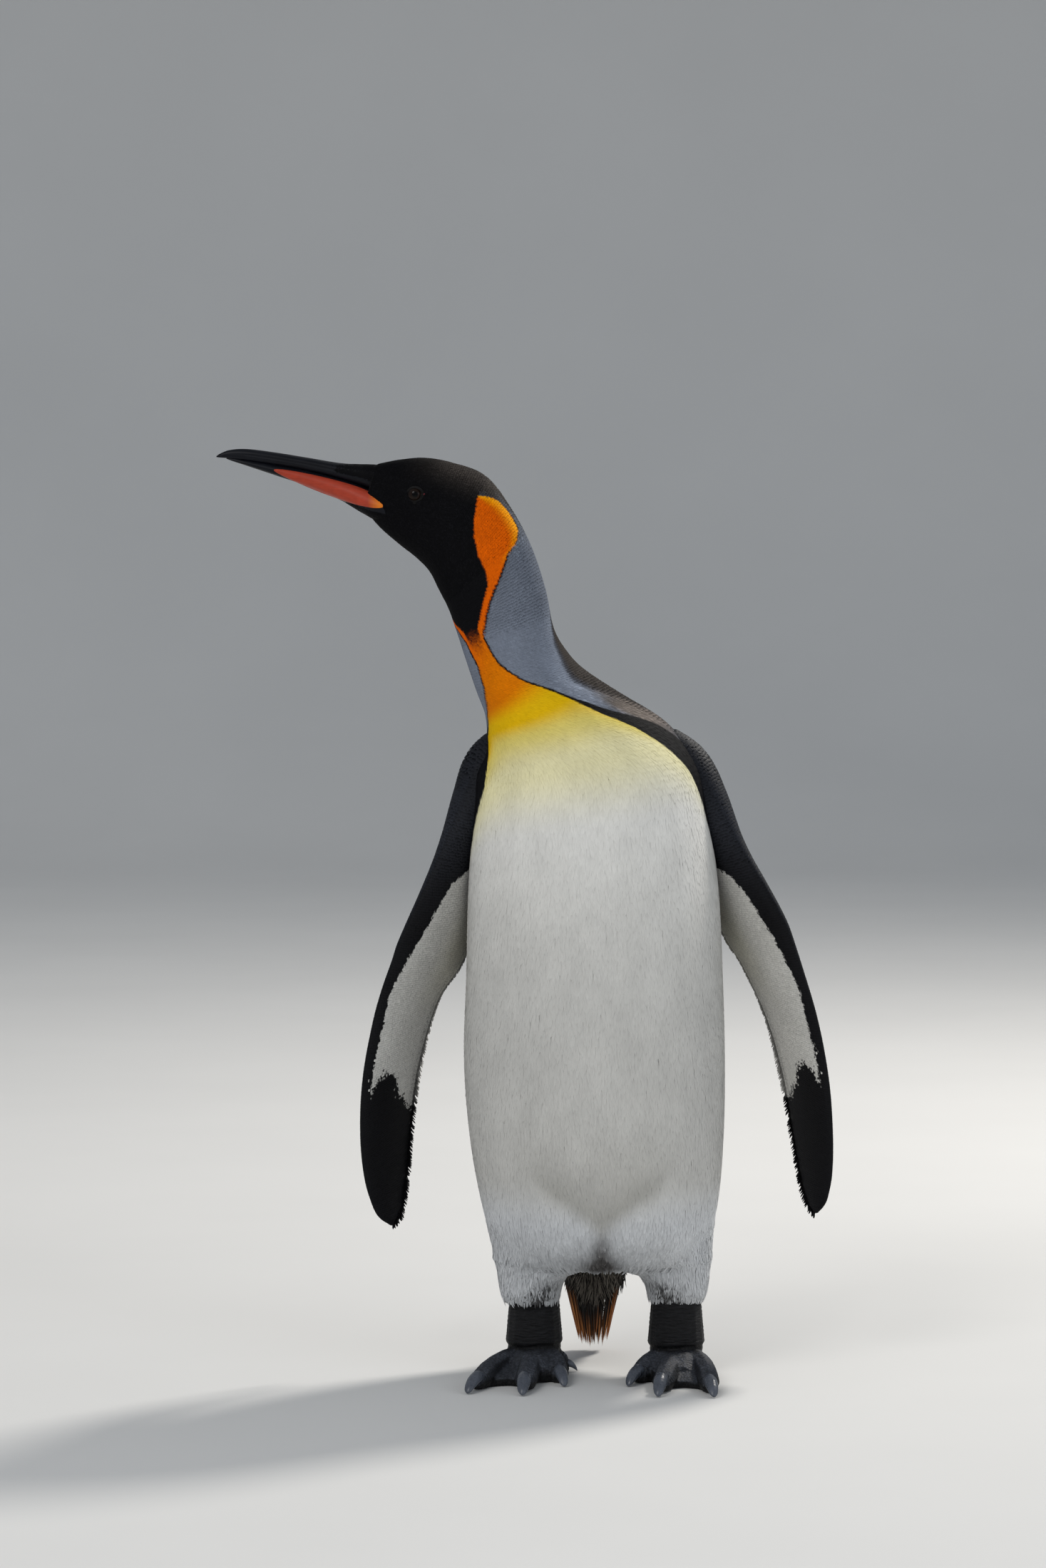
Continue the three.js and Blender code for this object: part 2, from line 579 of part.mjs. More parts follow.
// Legs: the feathered leg stops at the hip plane inside the trunk, and is cut to take the tarsus.
const belowHip = (z) => box(600, 600, 400, new THREE.Matrix4().makeTranslation(0, 0, z - 200));
const trunkTools = [];
for (const { name, side, flipper, leg, foot } of SIDES) {
  const legForm = limbSolid(leg).intersect(belowHip(HIP_Z));
  const ankle = { x: foot.x, y: foot.y };
  const tarsus = limbSolid(TARSUS, ankle);
  const tarsusGrown = limbSolid(TARSUS, { ...ankle, extra: GAP });
  const claws = TOES.map((toe) => clawSolid(foot, side, toe, GAP));
  trunkTools.push(limbSolid(leg, { extra: GAP }).intersect(belowHip(HIP_Z + GAP)));
  put("flipper_" + name, largest(cutBy(flipperSolid(flipper, side), wholeGrown)), "black");
  put("leg_" + name, largest(cutBy(legForm, tarsusGrown)), "white");
  put("tarsus_" + name, tarsus, "bare");
  put("foot_" + name, largest(cutBy(footSolid(foot, side), tarsusGrown, ...claws)), "bare");
  const above = box(400, 400, 200, new THREE.Matrix4().makeTranslation(MIDLINE, 0, 100));
  for (const toe of TOES)
    put("claw_" + name + "_" + toe.name, clawSolid(foot, side, toe, 0).intersect(above), "claw");
}
put("trunk", largest(cutBy(trunkForm, ...trunkTools)), "white");
put("tail", largest(cutBy(joined([limbSolid(TAIL_ROOT), ...quillSolids()]), wholeGrown)), "quill");

export default bird;
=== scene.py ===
"""A king penguin, life size: one skin, a coat of separate feathers, bill, eyes, feet and tail.

The bird faces -Y, its left side is +X and its head is turned to its own right. Tables are in
millimetres and degrees, and table() turns them into metres and radians.
A surface is a ring of points carried along stations: u runs along it from 0 to 1, a runs round it.
"""

import bpy
import numpy as np
from mathutils import Matrix


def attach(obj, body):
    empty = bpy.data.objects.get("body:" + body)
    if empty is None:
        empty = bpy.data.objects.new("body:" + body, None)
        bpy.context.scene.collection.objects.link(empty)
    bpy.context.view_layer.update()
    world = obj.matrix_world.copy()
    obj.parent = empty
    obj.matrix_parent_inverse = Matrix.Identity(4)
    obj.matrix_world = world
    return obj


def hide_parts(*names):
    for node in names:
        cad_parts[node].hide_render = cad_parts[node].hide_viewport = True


bl_info = {
    "name": "King penguin",
    "version": (1, 0, 0),
    "blender": (4, 5, 0),
    "location": "View3D > Sidebar > Penguin",
    "description": "Dresses the packed frame as a life-size king penguin",
    "category": "Object",
}

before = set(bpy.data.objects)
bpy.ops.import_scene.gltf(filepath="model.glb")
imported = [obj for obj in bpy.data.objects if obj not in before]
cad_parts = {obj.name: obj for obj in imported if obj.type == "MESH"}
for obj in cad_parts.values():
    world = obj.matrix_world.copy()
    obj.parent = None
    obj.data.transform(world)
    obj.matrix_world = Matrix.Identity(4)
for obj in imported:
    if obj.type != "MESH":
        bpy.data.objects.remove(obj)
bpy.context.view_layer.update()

MM = 0.001
BODY_NAME = "root"
ANGLES = ("lean", "turn", "heading")


def table(names, rows):
    """Columns of numbers by name; lengths go from millimetres to metres, angles to radians."""
    columns = dict(zip(names.split(), np.array(rows, float).T))
    return {k: np.radians(v) if k in ANGLES else v * MM for k, v in columns.items()}


# ---- driving dimensions -------------------------------------------------------------------------
MIDLINE = 56 * MM  # trunk's midline, to the left of the middle of the whole bird
HEAD_PLANE = -13 * MM  # the turned head's midplane, along Y
SIDES = {"right": -1, "left": 1}  # way along X to each side of the body
HEAD_SIDES = {"left": -1, "right": 1}  # way along Y to each side of the turned head
ROUND = 2.15  # superellipse power of a body section: 2 is an ellipse, more is squarer
FOLD = {"z": 138 * MM, "reach": 52 * MM, "half": 24 * MM, "depth": 11 * MM}
EYE = {"radius": 7.6 * MM, "x": -148.5 * MM + MIDLINE, "z": 741 * MM, "out": 19.9 * MM}

# Trunk, neck and head. x, y, z: centre. lean: of the section's normal to the bird's right.
# turn: of the belly side to the bird's right. w: half width. f, b: depth to the front and the back.
BODY = table("z x y lean turn w f b", [
    (94, 6, 7, 0, 0, 54, 46, 62),
    (99, 6, 4, 0, 0, 79, 68, 83),
    (116, 6, 1, 0, 0, 91, 87, 96),
    (146, 5.5, -2, 0, 0, 99.5, 102, 104),
    (200, 3, -4, 0, 0, 106.5, 114, 110),
    (265, 1, -5, 0, 0, 109.5, 118, 114),
    (340, 1, -5, 0, 0, 107.5, 116, 116),
    (410, 0, -4, 0, 0, 105, 109, 115),
    (465, -2, -2, 0, 0, 101, 99, 109),
    (508, -5, 0, 2, 0, 94.5, 88, 98),
    (534, -15, 0, 8, -10, 78, 74, 82),
    (556, -32, -2, 14, -25, 58, 58, 62),
    (574, -49, -5, 22, -45, 45, 43, 49),
    (591, -63, -9, 23, -65, 38, 37, 46),
    (616, -74, -13, 18, -80, 33, 35, 43),
    (643, -81, -15, 25, -90, 31, 37, 45),
    (670, -89, -15, 36, -90, 30, 40, 46),
    (695, -100, -14, 48, -90, 31, 44, 46.5),
    (716, -114, -13, 60, -90, 32, 45.5, 47),
    (728, -132, -13, 69, -90, 31, 43, 42),
    (737, -151, -13, 73, -90, 27, 39, 36),
    (744, -170, -13, 73, -90, 20, 31, 27),
    (749, -186, -13, 73, -90, 14, 20, 18),
])
# Bill, in the head's midplane. top, bottom: heights. w: half width.
UPPER_BILL = table("x top bottom w", [
    (-160, 764, 732, 12),
    (-182, 765.5, 743.5, 12),
    (-210, 767, 753.5, 9),
    (-238, 771.5, 760.5, 7),
    (-266, 776, 765.5, 5.6),
    (-290, 778.8, 769.3, 4.4),
    (-304, 777.8, 771, 3),
    (-312, 774.6, 771.6, 1.4),
    (-314.4, 772.8, 771.9, 0.5),
])
LOWER_BILL = table("x top bottom w", [
    (-158, 731, 713, 18),
    (-176, 740, 717, 17.5),
    (-193, 747.5, 725.5, 14.2),
    (-210, 753, 735.5, 11),
    (-238, 760, 747.5, 8.2),
    (-266, 765, 757, 6),
    (-290, 768.8, 765, 3.8),
    (-301, 770.4, 768.6, 1.5),
    (-306, 771.2, 770.5, 0.4),
])
PLATE = {"proud": 1.1 * MM, "inlay": 0.9 * MM, "half": 9.6 * MM}
PLATE_TIP = np.array([-267, 761.6]) * MM
PLATE_BACK = np.array([-172.5, 732.5]) * MM

# Flippers, shoulder to tip. x: out from the midline. heading: leading edge, 0 forward, 90 outward.
RIGHT_FLIPPER = table("z x y chord thick heading", [
    (530, 61, 6, 44, 36, 28),
    (512, 79, 6, 57, 38, 32),
    (486, 87, 5, 66, 34, 37),
    (448, 99, 5, 75, 26, 42),
    (400, 117, 6, 82, 20, 45),
    (352, 138, 8, 83, 16, 46),
    (326, 151, 9, 72, 14, 45),
    (296, 161, 10, 67, 13, 45),
    (250, 171, 12, 65, 11, 43),
    (205, 175, 14, 60, 9, 43),
    (168, 175, 16, 51, 7, 43),
    (144, 173, 17, 38, 5.5, 43),
    (131, 171, 18, 24, 4, 43),
    (124, 170, 18, 6, 2, 43),
])
LEFT_FLIPPER = table("z x y chord thick heading", [
    (528, 51, 6, 42, 34, 26),
    (510, 70, 6, 56, 38, 30),
    (484, 82.5, 5, 66, 34, 34),
    (447, 98, 5, 76, 26, 38),
    (404, 121, 6, 83, 20, 40),
    (372, 137.5, 7, 85, 18, 40),
    (349, 148.5, 8, 76, 16, 39),
    (300, 167, 10, 67, 13, 37),
    (250, 179, 12, 61, 11, 36),
    (205, 185, 14, 54, 9, 36),
    (170, 188, 16, 44, 7, 36),
    (150, 188.5, 17, 32, 5.5, 36),
    (140, 188.5, 18, 20, 4, 36),
    (134, 188.5, 18, 6, 2, 36),
])
LEADING_BULK = 0.45  # how much thicker a flipper is at its leading edge
SHOULDER_BULK = 4.2 * MM  # how far the plumage swells out over the shoulder joint

# Feathered legs, from inside the trunk down to the bare tarsus, and the root of the tail.
RIGHT_LEG = table("z x y w f b", [
    (150, -50, -7, 44, 60, 56),
    (126, -50, -8, 39, 52, 49),
    (98, -53, -7, 29.5, 38, 38),
    (76, -53, -5, 26, 29, 30),
    (62, -52, -2, 24.5, 24.5, 26.5),
])
LEFT_LEG = table("z x y w f b", [
    (150, 55, -7, 44, 60, 56),
    (126, 61, -8, 40, 52, 49),
    (98, 69, -7, 30, 38, 38),
    (76, 71, -5, 26, 29, 30),
    (62, 70, -2, 24.5, 24.5, 26.5),
])
TAIL_ROOT = table("z x y w f b", [
    (140, 2.5, 70, 46, 40, 34),
    (108, 2.5, 77, 38, 34, 27),
    (84, 2.5, 87, 30, 21, 17),
    (64, 2.5, 97, 25, 10, 8),
])
# Fan of the tail's quills. root, tip: width at the top and at the floor. back: how far the ends lie
# behind the roots. step: depth of the layers.
FAN = {
    "root": 64 * MM, "tip": 25 * MM, "top": 104 * MM, "y": 88 * MM, "length": 103 * MM, "back": 25 * MM,
    "step": 6 * MM,
}

# Feet. A toe's path starts at base beside the ankle and is turned outwards by spread.
ANKLES = {
    "right": {"side": SIDES["right"], "x": -49.5 * MM, "y": 1 * MM, "heading": -5.0},
    "left": {"side": SIDES["left"], "x": 70 * MM, "y": -6 * MM, "heading": -9.0},
}
TOES = {
    "outer": {"base": 13, "spread": 16.5, "reach": 93, "w": 8.8, "claw": 23, "bow": 4},
    "middle": {"base": 0, "spread": 0, "reach": 92, "w": 9.4, "claw": 24, "bow": 0},
    "inner": {"base": -11, "spread": -16, "reach": 52, "w": 8.6, "claw": 21, "bow": -2},
    "hind": {"base": -4, "spread": -105, "reach": 24, "w": 6, "claw": 9, "bow": 0},
}
BARE_TOP = 26 * MM  # height of the foot, where the tarsus begins
# Stations of a claw. Share of its length past the toe's end, and height, half width and half
# thickness in half widths of the toe.
CLAW = np.array([
    (-0.34, 1.2, 0.44, 0.4),
    (0.05, 1.26, 0.6, 0.58),
    (0.42, 1.06, 0.6, 0.54),
    (0.74, 0.7, 0.5, 0.42),
    (0.92, 0.38, 0.34, 0.28),
    (1.0, 0.2, 0.12, 0.1),
]).T

# ---- coat ---------------------------------------------------------------------------------------
# Feathers of the upperparts and head, from vent to face. row, gap: spacing along and across.
# depth: of the coat over the skin.
GRAIN = table("row gap length width depth", [
    (3.6, 2.1, 8.6, 2.9, 1.5),
    (3.4, 2.0, 8.0, 2.8, 1.3),
    (3.2, 1.95, 7.4, 2.7, 1.2),
    (2.9, 1.8, 6.4, 2.5, 1.1),
    (2.35, 1.6, 5.0, 2.2, 1.0),
    (2.1, 1.5, 4.5, 2.05, 0.95),
    (1.6, 1.3, 4.2, 2.15, 0.9),
    (1.3, 1.15, 3.4, 1.8, 0.8),
    (1.15, 1.05, 2.8, 1.6, 0.6),
])
GRAIN_AT = [0, 0.12, 0.4, 0.6, 0.7, 0.8, 0.88, 0.94, 1]
# Feathers of the belly and breast: narrow and long, so that they lie as fine satin streaks.
SATIN = table("row gap length width", [
    (3.6, 1.3, 18, 2.4),
    (4.2, 1.35, 21, 2.7),
    (4.6, 1.35, 23, 2.8),
    (4.4, 1.3, 21, 2.7),
    (3.2, 1.2, 14, 2.3),
    (2.6, 1.15, 9, 2.0),
])
SATIN_AT = [0, 0.08, 0.2, 0.55, 0.65, 0.7]
PATCH = 0.003  # side of a feather's patch on the unwrap of the skin
SEEDS = {"body": 100, "flippers": 200, "legs": 300, "tail": 400, "bill": 500}
LIMB_DEPTH = {"flipper": 1.1 * MM, "leg": 2.6 * MM, "tail": 2.5 * MM}  # of the coat over the skin
COMB_TEETH = 600
QUILLS = 15
BRISTLES = 900
PALE = 0.25  # a feather whose brightest channel is over this counts as pale
DUSKY = 0.09  # and one under this as dark
DIM = 0.3  # under this a feather of the body may be one of the paler ones, which are partly painted glints
BARE_BEHIND_EYE, BARE_BEFORE_EYE = 5.4 * MM, 7.4 * MM  # from the eye's axis to the first feathers

# Markings of the body, by u. DRIFT: where the plumage's front line lies round the twisted neck.
# REAR: half width of the pale front and, higher up, rear edge of the ear patch. LEAD: front edge of
# the patch, which is the rear edge of the black hood. LINE: width of the black line behind REAR.
# All in degrees of a.
DRIFT = [
    (0, 0), (0.645, 0), (0.686, 16), (0.719, 36), (0.742, 42), (0.79, 47), (0.82, 37), (0.855, 18),
    (0.9, 0),
]
REAR = [
    (0, 88), (0.06, 100), (0.17, 106), (0.3, 102), (0.4, 93), (0.468, 83), (0.49, 78), (0.522, 71),
    (0.551, 64), (0.576, 61), (0.608, 58.5), (0.644, 56), (0.686, 45.5), (0.719, 26), (0.742, 15.5),
    (0.772, 16), (0.792, 30), (0.801, 40), (0.814, 54), (0.824, 70), (0.835, 91), (0.8386, 113),
    (0.8464, 133), (0.856, 139), (0.864, 141), (0.874, 139), (0.882, 132), (0.8905, 124),
]
LEAD = [
    (0.738, 0), (0.75, 6), (0.762, 10), (0.772, 12), (0.785, 14.5), (0.804, 34), (0.821, 53), (0.835, 63),
    (0.854, 73), (0.871, 85), (0.881, 98), (0.888, 115), (0.8905, 124),
]
HOOD = 0.8905  # the head is black all round from here on
LINE = [
    (0, 4), (0.3, 5), (0.42, 8), (0.5, 16), (0.54, 20), (0.56, 23), (0.58, 27), (0.6, 27), (0.62, 21),
    (0.635, 15), (0.65, 9), (0.67, 4), (0.7, 3), (0.78, 3.2), (0.83, 4), (0.85, 2), (0.87, 0),
]
# Bands of the breast, upwards: where each colour begins and where it is full.
BANDS = [
    ("cream", 0.51, 0.59), ("pale_yellow", 0.59, 0.64), ("yellow", 0.634, 0.662),
    ("orange", 0.672, 0.705), ("patch", 0.72, 0.79),
]
NAPE = [  # front edge of the dark nape
    (0.62, 110), (0.64, 95), (0.66, 80), (0.674, 74), (0.692, 73), (0.713, 84), (0.739, 96), (0.755, 109),
    (0.775, 128), (0.8, 140), (0.83, 150),
]
THIGH_COOL_LIGHT = np.array([0.93, 0.965, 1.04])  # painted cool light on the plumage over the legs
# Top edge of the plumage over the legs: u by a.
THIGHS = [(0, 0.076), (5, 0.087), (14, 0.105), (24, 0.118), (31, 0.136), (40, 0.155), (60, 0.2)]

# Markings of a flipper's inner face, by u and by place across it: 1 leading edge, -1 trailing edge.
WHITE_EDGE = [
    (0.245, -1), (0.25, 0.1), (0.27, 0.36), (0.3, 0.56), (0.34, 0.62), (0.4, 0.65), (0.45, 0.72),
    (0.5, 0.8), (0.55, 0.86), (0.6, 0.8), (0.75, 0.81),
]
TIP_EDGE = [
    (-1, 0.765), (-0.65, 0.76), (-0.3, 0.74), (-0.13, 0.718), (0.05, 0.696), (0.3, 0.692), (0.55, 0.705),
    (0.7, 0.722), (0.81, 0.745), (1, 0.76),
]


def colour(name, value, text):
    return bpy.props.FloatVectorProperty(
        name=name, description=text, default=value, size=3, min=0, max=1, subtype="COLOR"
    )


class PenguinColours(bpy.types.PropertyGroup):
    white: colour("White", (0.7, 0.69, 0.655), "Belly, legs and inner flippers")
    # Painted shade, partly stain, on the belly just above the thighs.
    soiled: colour("Soiled white", (0.29, 0.284, 0.255), "Worn belly above the thighs")
    cream: colour("Cream", (0.83, 0.77, 0.46), "Lower edge of the yellow breast")
    pale_yellow: colour("Pale yellow", (0.77, 0.64, 0.17), "Breast below the yellow")
    yellow: colour("Yellow", (0.82, 0.5, 0.004), "Breast below the orange")
    orange: colour("Orange", (0.76, 0.2, 0.0008), "Upper breast")
    patch: colour("Ear patch", (0.77, 0.12, 0.0004), "Ear patches, their stripes and the lower throat")
    # Gold is painted sunlight along the rear edge of the ear patches.
    gold: colour("Gold", (1.0, 0.4, 0.0015), "Rear edge of the ear patches")
    black: colour("Black", (0.0045, 0.0045, 0.0055), "Head, flippers' edges and tips, the line by the breast")
    grey: colour("Grey", (0.15, 0.17, 0.212), "Sides of the neck")
    slate: colour("Slate", (0.026, 0.029, 0.038), "Back and upper flippers")
    nape: colour("Nape", (0.036, 0.03, 0.026), "Brownish feathers of the nape and crown")
    bare: colour("Bare skin", (0.006, 0.006, 0.0068), "Tarsi, toes and webs")
    # Toes: painted light on the upper sides of the toes and webs, over the bare skin's colour.
    toes: colour("Toes", (0.038, 0.042, 0.052), "Upper sides of the toes and webs")
    horn: colour("Bill horn", (0.0045, 0.005, 0.0075), "Upper bill and the edge of the lower one")
    plate: colour("Plate", (0.38, 0.045, 0.02), "Plates on the lower bill")
    plate_rim: colour("Plate rim", (0.75, 0.2, 0.01), "Round rear end of the plates")
    claw: colour("Claws", (0.062, 0.07, 0.088), "Claws")
    iris: colour("Iris", (0.011, 0.006, 0.004), "Iris")
    lid: colour("Lid", (0.0052, 0.0048, 0.0048), "Lid ring")
    caruncle: colour("Eye corner", (0.09, 0.012, 0.016), "Bare spot behind the eye")
    quill: colour("Tail base", (0.014, 0.012, 0.011), "Tail feathers near their roots")
    downy: colour("Tail coverts", (0.15, 0.135, 0.115), "Soft feathers under the tail's root")
    rust: colour("Tail tips", (0.44, 0.15, 0.042), "Worn tips of the tail feathers")
    rust_tip: colour("Tail bristles", (0.75, 0.31, 0.1), "Brightest bristles of the tail")
    floor: colour("Floor", (0.72, 0.715, 0.7), "Floor of the stage")


class PenguinSizes(bpy.types.PropertyGroup):
    depth: bpy.props.FloatProperty(
        name="Coat depth", description="Depth of the coat, as a share of the usual one", default=1.0,
        min=0.4, max=1.6,
    )
    length: bpy.props.FloatProperty(
        name="Feather length", description="Length of the feathers, as a share of the usual one", default=1.0,
        min=0.5, max=2.0,
    )
    hem: bpy.props.FloatProperty(
        name="Leg plumes", description="Length of the plumes on the legs", default=0.019, min=0.008,
        max=0.04, unit="LENGTH",
    )


# ---- small tools --------------------------------------------------------------------------------
def unit(v):
    return v / np.maximum(np.linalg.norm(v, axis=-1, keepdims=True), 1e-12)


def vector(x, y, z):
    return np.stack(np.broadcast_arrays(x, y, z), -1)


def scaled(v, k):
    """Vectors v, each times its own number k."""
    return v * np.asarray(k)[..., None]


def curve(x, knots):
    """Straight lines through the knots (x, value)."""
    at, value = np.array(knots, float).T
    return np.interp(x, at, value)


def fade(x, low, high):
    """Smooth step from 0 at low to 1 at high."""
    t = np.clip((x - low) / (high - low), 0, 1)
    return t * t * (3 - 2 * t)


def mixed(a, b, k):
    return a + (b - a) * np.asarray(k)[..., None]


def wrapped(degrees):
    """Angles brought to between -180 and 180 degrees."""
    return (degrees + 180) % 360 - 180


def full_turn(n, start=0.0):
    """n even steps round a ring from start, in radians."""
    return np.linspace(start, start + 2 * np.pi, n, endpoint=False)


def power(v):
    """Signed power that turns a circle's sine and cosine into a superellipse's."""
    return np.sign(v) * np.abs(v) ** (2 / ROUND)


def through(columns):
    """Function of u that gives each column on a cubic through the stations.

    Stations are spaced by the change of place and width, and slopes follow the neighbours.
    """
    steps = sum(np.diff(columns[k]) ** 2 for k in ("x", "y", "z", "w") if k in columns)
    at = np.concatenate([[0], np.cumsum(np.sqrt(steps))])
    last = len(at) - 1
    low = np.maximum(np.arange(last + 1) - 1, 0)
    high = np.minimum(np.arange(last + 1) + 1, last)

    def value(u):
        d = np.clip(u, 0, 1) * at[-1]
        i = np.clip(np.searchsorted(at, d, side="right") - 1, 0, last - 1)
        h = at[i + 1] - at[i]
        s = (d - at[i]) / h
        found = {}
        for k, v in columns.items():
            slope = (v[high] - v[low]) / (at[high] - at[low])
            found[k] = (
                (2 * s**3 - 3 * s**2 + 1) * v[i]
                + (s**3 - 2 * s**2 + s) * h * slope[i]
                + (3 * s**2 - 2 * s**3) * v[i + 1]
                + (s**3 - s**2) * h * slope[i + 1]
            )
        return found

    return value


# ---- surfaces -----------------------------------------------------------------------------------
class Surface:
    """point(u, a, inset) gives places; lie is 1 where feathers point along u and -1 against it.

    sense is 1 where the cross product of the ring's and the path's directions points outwards.
    """

    def __init__(self, point, lie, sense):
        self.point = point
        self.lie = lie
        self.sense = sense

    def slope(self, u, a, inset=0.0, step=4e-3):
        """Change of place per u, by central differences, one-sided at the ends."""
        high = np.minimum(u + step, 1)
        low = np.maximum(u - step, 0)
        return scaled(self.point(high, a, inset) - self.point(low, a, inset), 1 / (high - low))

    def reach(self, u, a, inset):
        """The surface at u, carried straight on past its two ends."""
        near = np.clip(u, 0, 1)
        return self.point(near, a, inset) + scaled(self.slope(near, a, inset), u - near)

    def frame(self, u, a):
        """Place, outward normal, lie, and metres per u and per a."""
        along = self.slope(u, a)
        around = (self.point(u, a + 0.02, 0) - self.point(u, a - 0.02, 0)) / 0.04
        out = unit(np.cross(around, along)) * self.sense
        length = np.linalg.norm(along, axis=-1)
        return self.point(u, a, 0), out, unit(along) * self.lie, length, np.linalg.norm(around, axis=-1)


def mound(u, a, at_u, at_a, wide_u, wide_a):
    """Smooth swelling, 1 high at (at_u, at_a degrees), falling off over the two widths."""
    off = wrapped(np.degrees(a) - at_a)
    return np.exp(-(((u - at_u) / wide_u) ** 2) - (off / wide_a) ** 2)


def swelling(u, a):
    """Height of the plumage over the plain rings: belly, shoulders, thighs, brows and eye hollows."""
    height = 1.6 * mound(u, a, 0.17, 0, 0.05, 34)
    height += 4.6 * mound(u, a, 0.632, 98, 0.04, 34) + 2.4 * mound(u, a, 0.575, -92, 0.035, 30)
    for side in (-1, 1):
        height += 3.6 * mound(u, a, 0.083, 27 * side, 0.034, 15)
        brow = 1.2 * mound(u, a, 0.942, 117 * side, 0.016, 10)
        height += brow - 1.5 * mound(u, a, 0.947, 96.5 * side, 0.0105, 13)
    return height * MM


body_at = through(BODY)


def body_frame(u):
    """Sizes and centre of a ring of the body, its normal, and its directions to the front and the left."""
    s = body_at(u)
    up = vector(-np.sin(s["lean"]), 0, np.cos(s["lean"]))
    forward = vector(0 * s["turn"], -1, 0)
    front = scaled(forward, np.cos(s["turn"])) + scaled(np.cross(up, forward), np.sin(s["turn"]))
    return s, vector(s["x"] + MIDLINE, s["y"], s["z"]), up, front, np.cross(up, front)


def body_point(u, a, inset):
    """Superellipse rings carried up the trunk, leant and turned, with a shallow fold between the thighs."""
    s, centre, _, front, left = body_frame(u)
    inset = inset - swelling(u, a)
    ahead = np.cos(a) > 0
    out = (s["w"] - inset) * power(np.sin(a))
    deep = (np.where(ahead, s["f"], s["b"]) - inset) * power(np.cos(a))
    level = ((s["z"] - FOLD["z"]) / FOLD["reach"]) ** 2
    fold = FOLD["depth"] * np.exp(-level - (out / FOLD["half"]) ** 2)
    return centre + scaled(front, deep - np.where(ahead, fold, 0)) + scaled(left, out)


def flipper_surface(columns, side):
    """Flattened oval rings, thicker in front, carried down from the shoulder; the chord turns outwards."""
    at = through(columns)

    def centre(u):
        s = at(u)
        return vector(side * s["x"] + MIDLINE, s["y"], s["z"])

    def point(u, a, inset):
        s = at(u)
        inset = inset - SHOULDER_BULK * fade(0.3 - u, 0, 0.2) * (0.55 + 0.45 * np.cos(a))
        down = unit(centre(np.minimum(u + 0.01, 1)) - centre(np.maximum(u - 0.01, 0)))
        lead = vector(side * np.sin(s["heading"]), -np.cos(s["heading"]), 0)
        lead = unit(lead - scaled(down, (lead * down).sum(-1)))
        outer = np.cross(down, lead)
        flat = s["thick"] / 2 - np.minimum(inset, 0.3 * s["thick"])
        chord = s["chord"] / 2 - np.minimum(inset, 0.2 * s["chord"])
        flat = np.maximum(flat, 0.2 * s["thick"])
        thick = flat * np.sin(a) * (1 + LEADING_BULK * np.cos(a))
        return centre(u) + scaled(lead, chord * np.cos(a)) + scaled(outer, thick)

    return Surface(point, lie=1, sense=1)


def limb_surface(columns):
    """Oval level rings carried down an upright limb."""
    at = through(columns)

    def point(u, a, inset):
        s = at(u)
        deep = (np.where(np.cos(a) > 0, s["f"], s["b"]) - inset) * np.cos(a)
        return vector(s["x"] + MIDLINE + (s["w"] - inset) * np.sin(a), s["y"] - deep, s["z"])

    return Surface(point, lie=1, sense=-1)


def bill_point(columns):
    """Superellipse rings carried along the bill, in the head's midplane."""
    at = through(columns)

    def point(u, a, inset):
        s = at(u)
        half = np.maximum((s["top"] - s["bottom"]) / 2 - inset, 0.1 * MM)
        wide = np.maximum(s["w"] - inset, 0.1 * MM)
        z = (s["top"] + s["bottom"]) / 2 + half * power(np.cos(a))
        return vector(s["x"] + MIDLINE, HEAD_PLANE + wide * power(np.sin(a)), z)

    return point


SKIN_BODY = Surface(body_point, lie=-1, sense=1)
FLIPPERS = {"right": flipper_surface(RIGHT_FLIPPER, -1), "left": flipper_surface(LEFT_FLIPPER, 1)}
LEGS = {"right": limb_surface(RIGHT_LEG), "left": limb_surface(LEFT_LEG)}
TAIL = limb_surface(TAIL_ROOT)
BILL_TOP = Surface(bill_point(UPPER_BILL), lie=-1, sense=1)
BILL_LOW = Surface(bill_point(LOWER_BILL), lie=-1, sense=1)


def between_ends(columns, p):
    """True where p is level with some station of an upright limb, whose stations run downwards."""
    return (p[..., 2] < columns["z"][0]) & (p[..., 2] > columns["z"][-1])


def level_section(columns, p, run=-1):
    """Half width and depth of the rings level with p, and how far p is aside of their centre and behind it.

    run is -1 where the stations run downwards and 1 where they run upwards.
    """
    at = {k: np.interp(run * p[..., 2], run * columns["z"], v) for k, v in columns.items()}
    behind = p[..., 1] - at["y"]
    return at["w"], np.where(behind < 0, at["f"], at["b"]), np.abs(p[..., 0] - at["x"] - MIDLINE), behind


def inside_limb(columns, p, grown):
    """True where p lies inside an upright limb."""
    wide, deep, aside, behind = level_section(columns, p)
    return between_ends(columns, p) & ((aside / (wide + grown)) ** 2 + (behind / (deep + grown)) ** 2 < 1)


def inside_flipper(columns, side, p, grown):
    """True where p lies inside a flipper, taken as level ovals."""
    at = {k: np.interp(-p[..., 2], -columns["z"], v) for k, v in columns.items()}
    lead = vector(side * np.sin(at["heading"]), -np.cos(at["heading"]), 0)
    from_middle = p - vector(side * at["x"] + MIDLINE, at["y"], p[..., 2])
    along = (from_middle * lead).sum(-1)
    across = from_middle[..., 0] * -lead[..., 1] + from_middle[..., 1] * lead[..., 0]
    chord = np.maximum(at["chord"] / 2 + grown, 0.1 * MM)
    thick = np.maximum(at["thick"] / 2 + grown, 0.1 * MM)
    return between_ends(columns, p) & ((along / chord) ** 2 + (across / thick) ** 2 < 1)


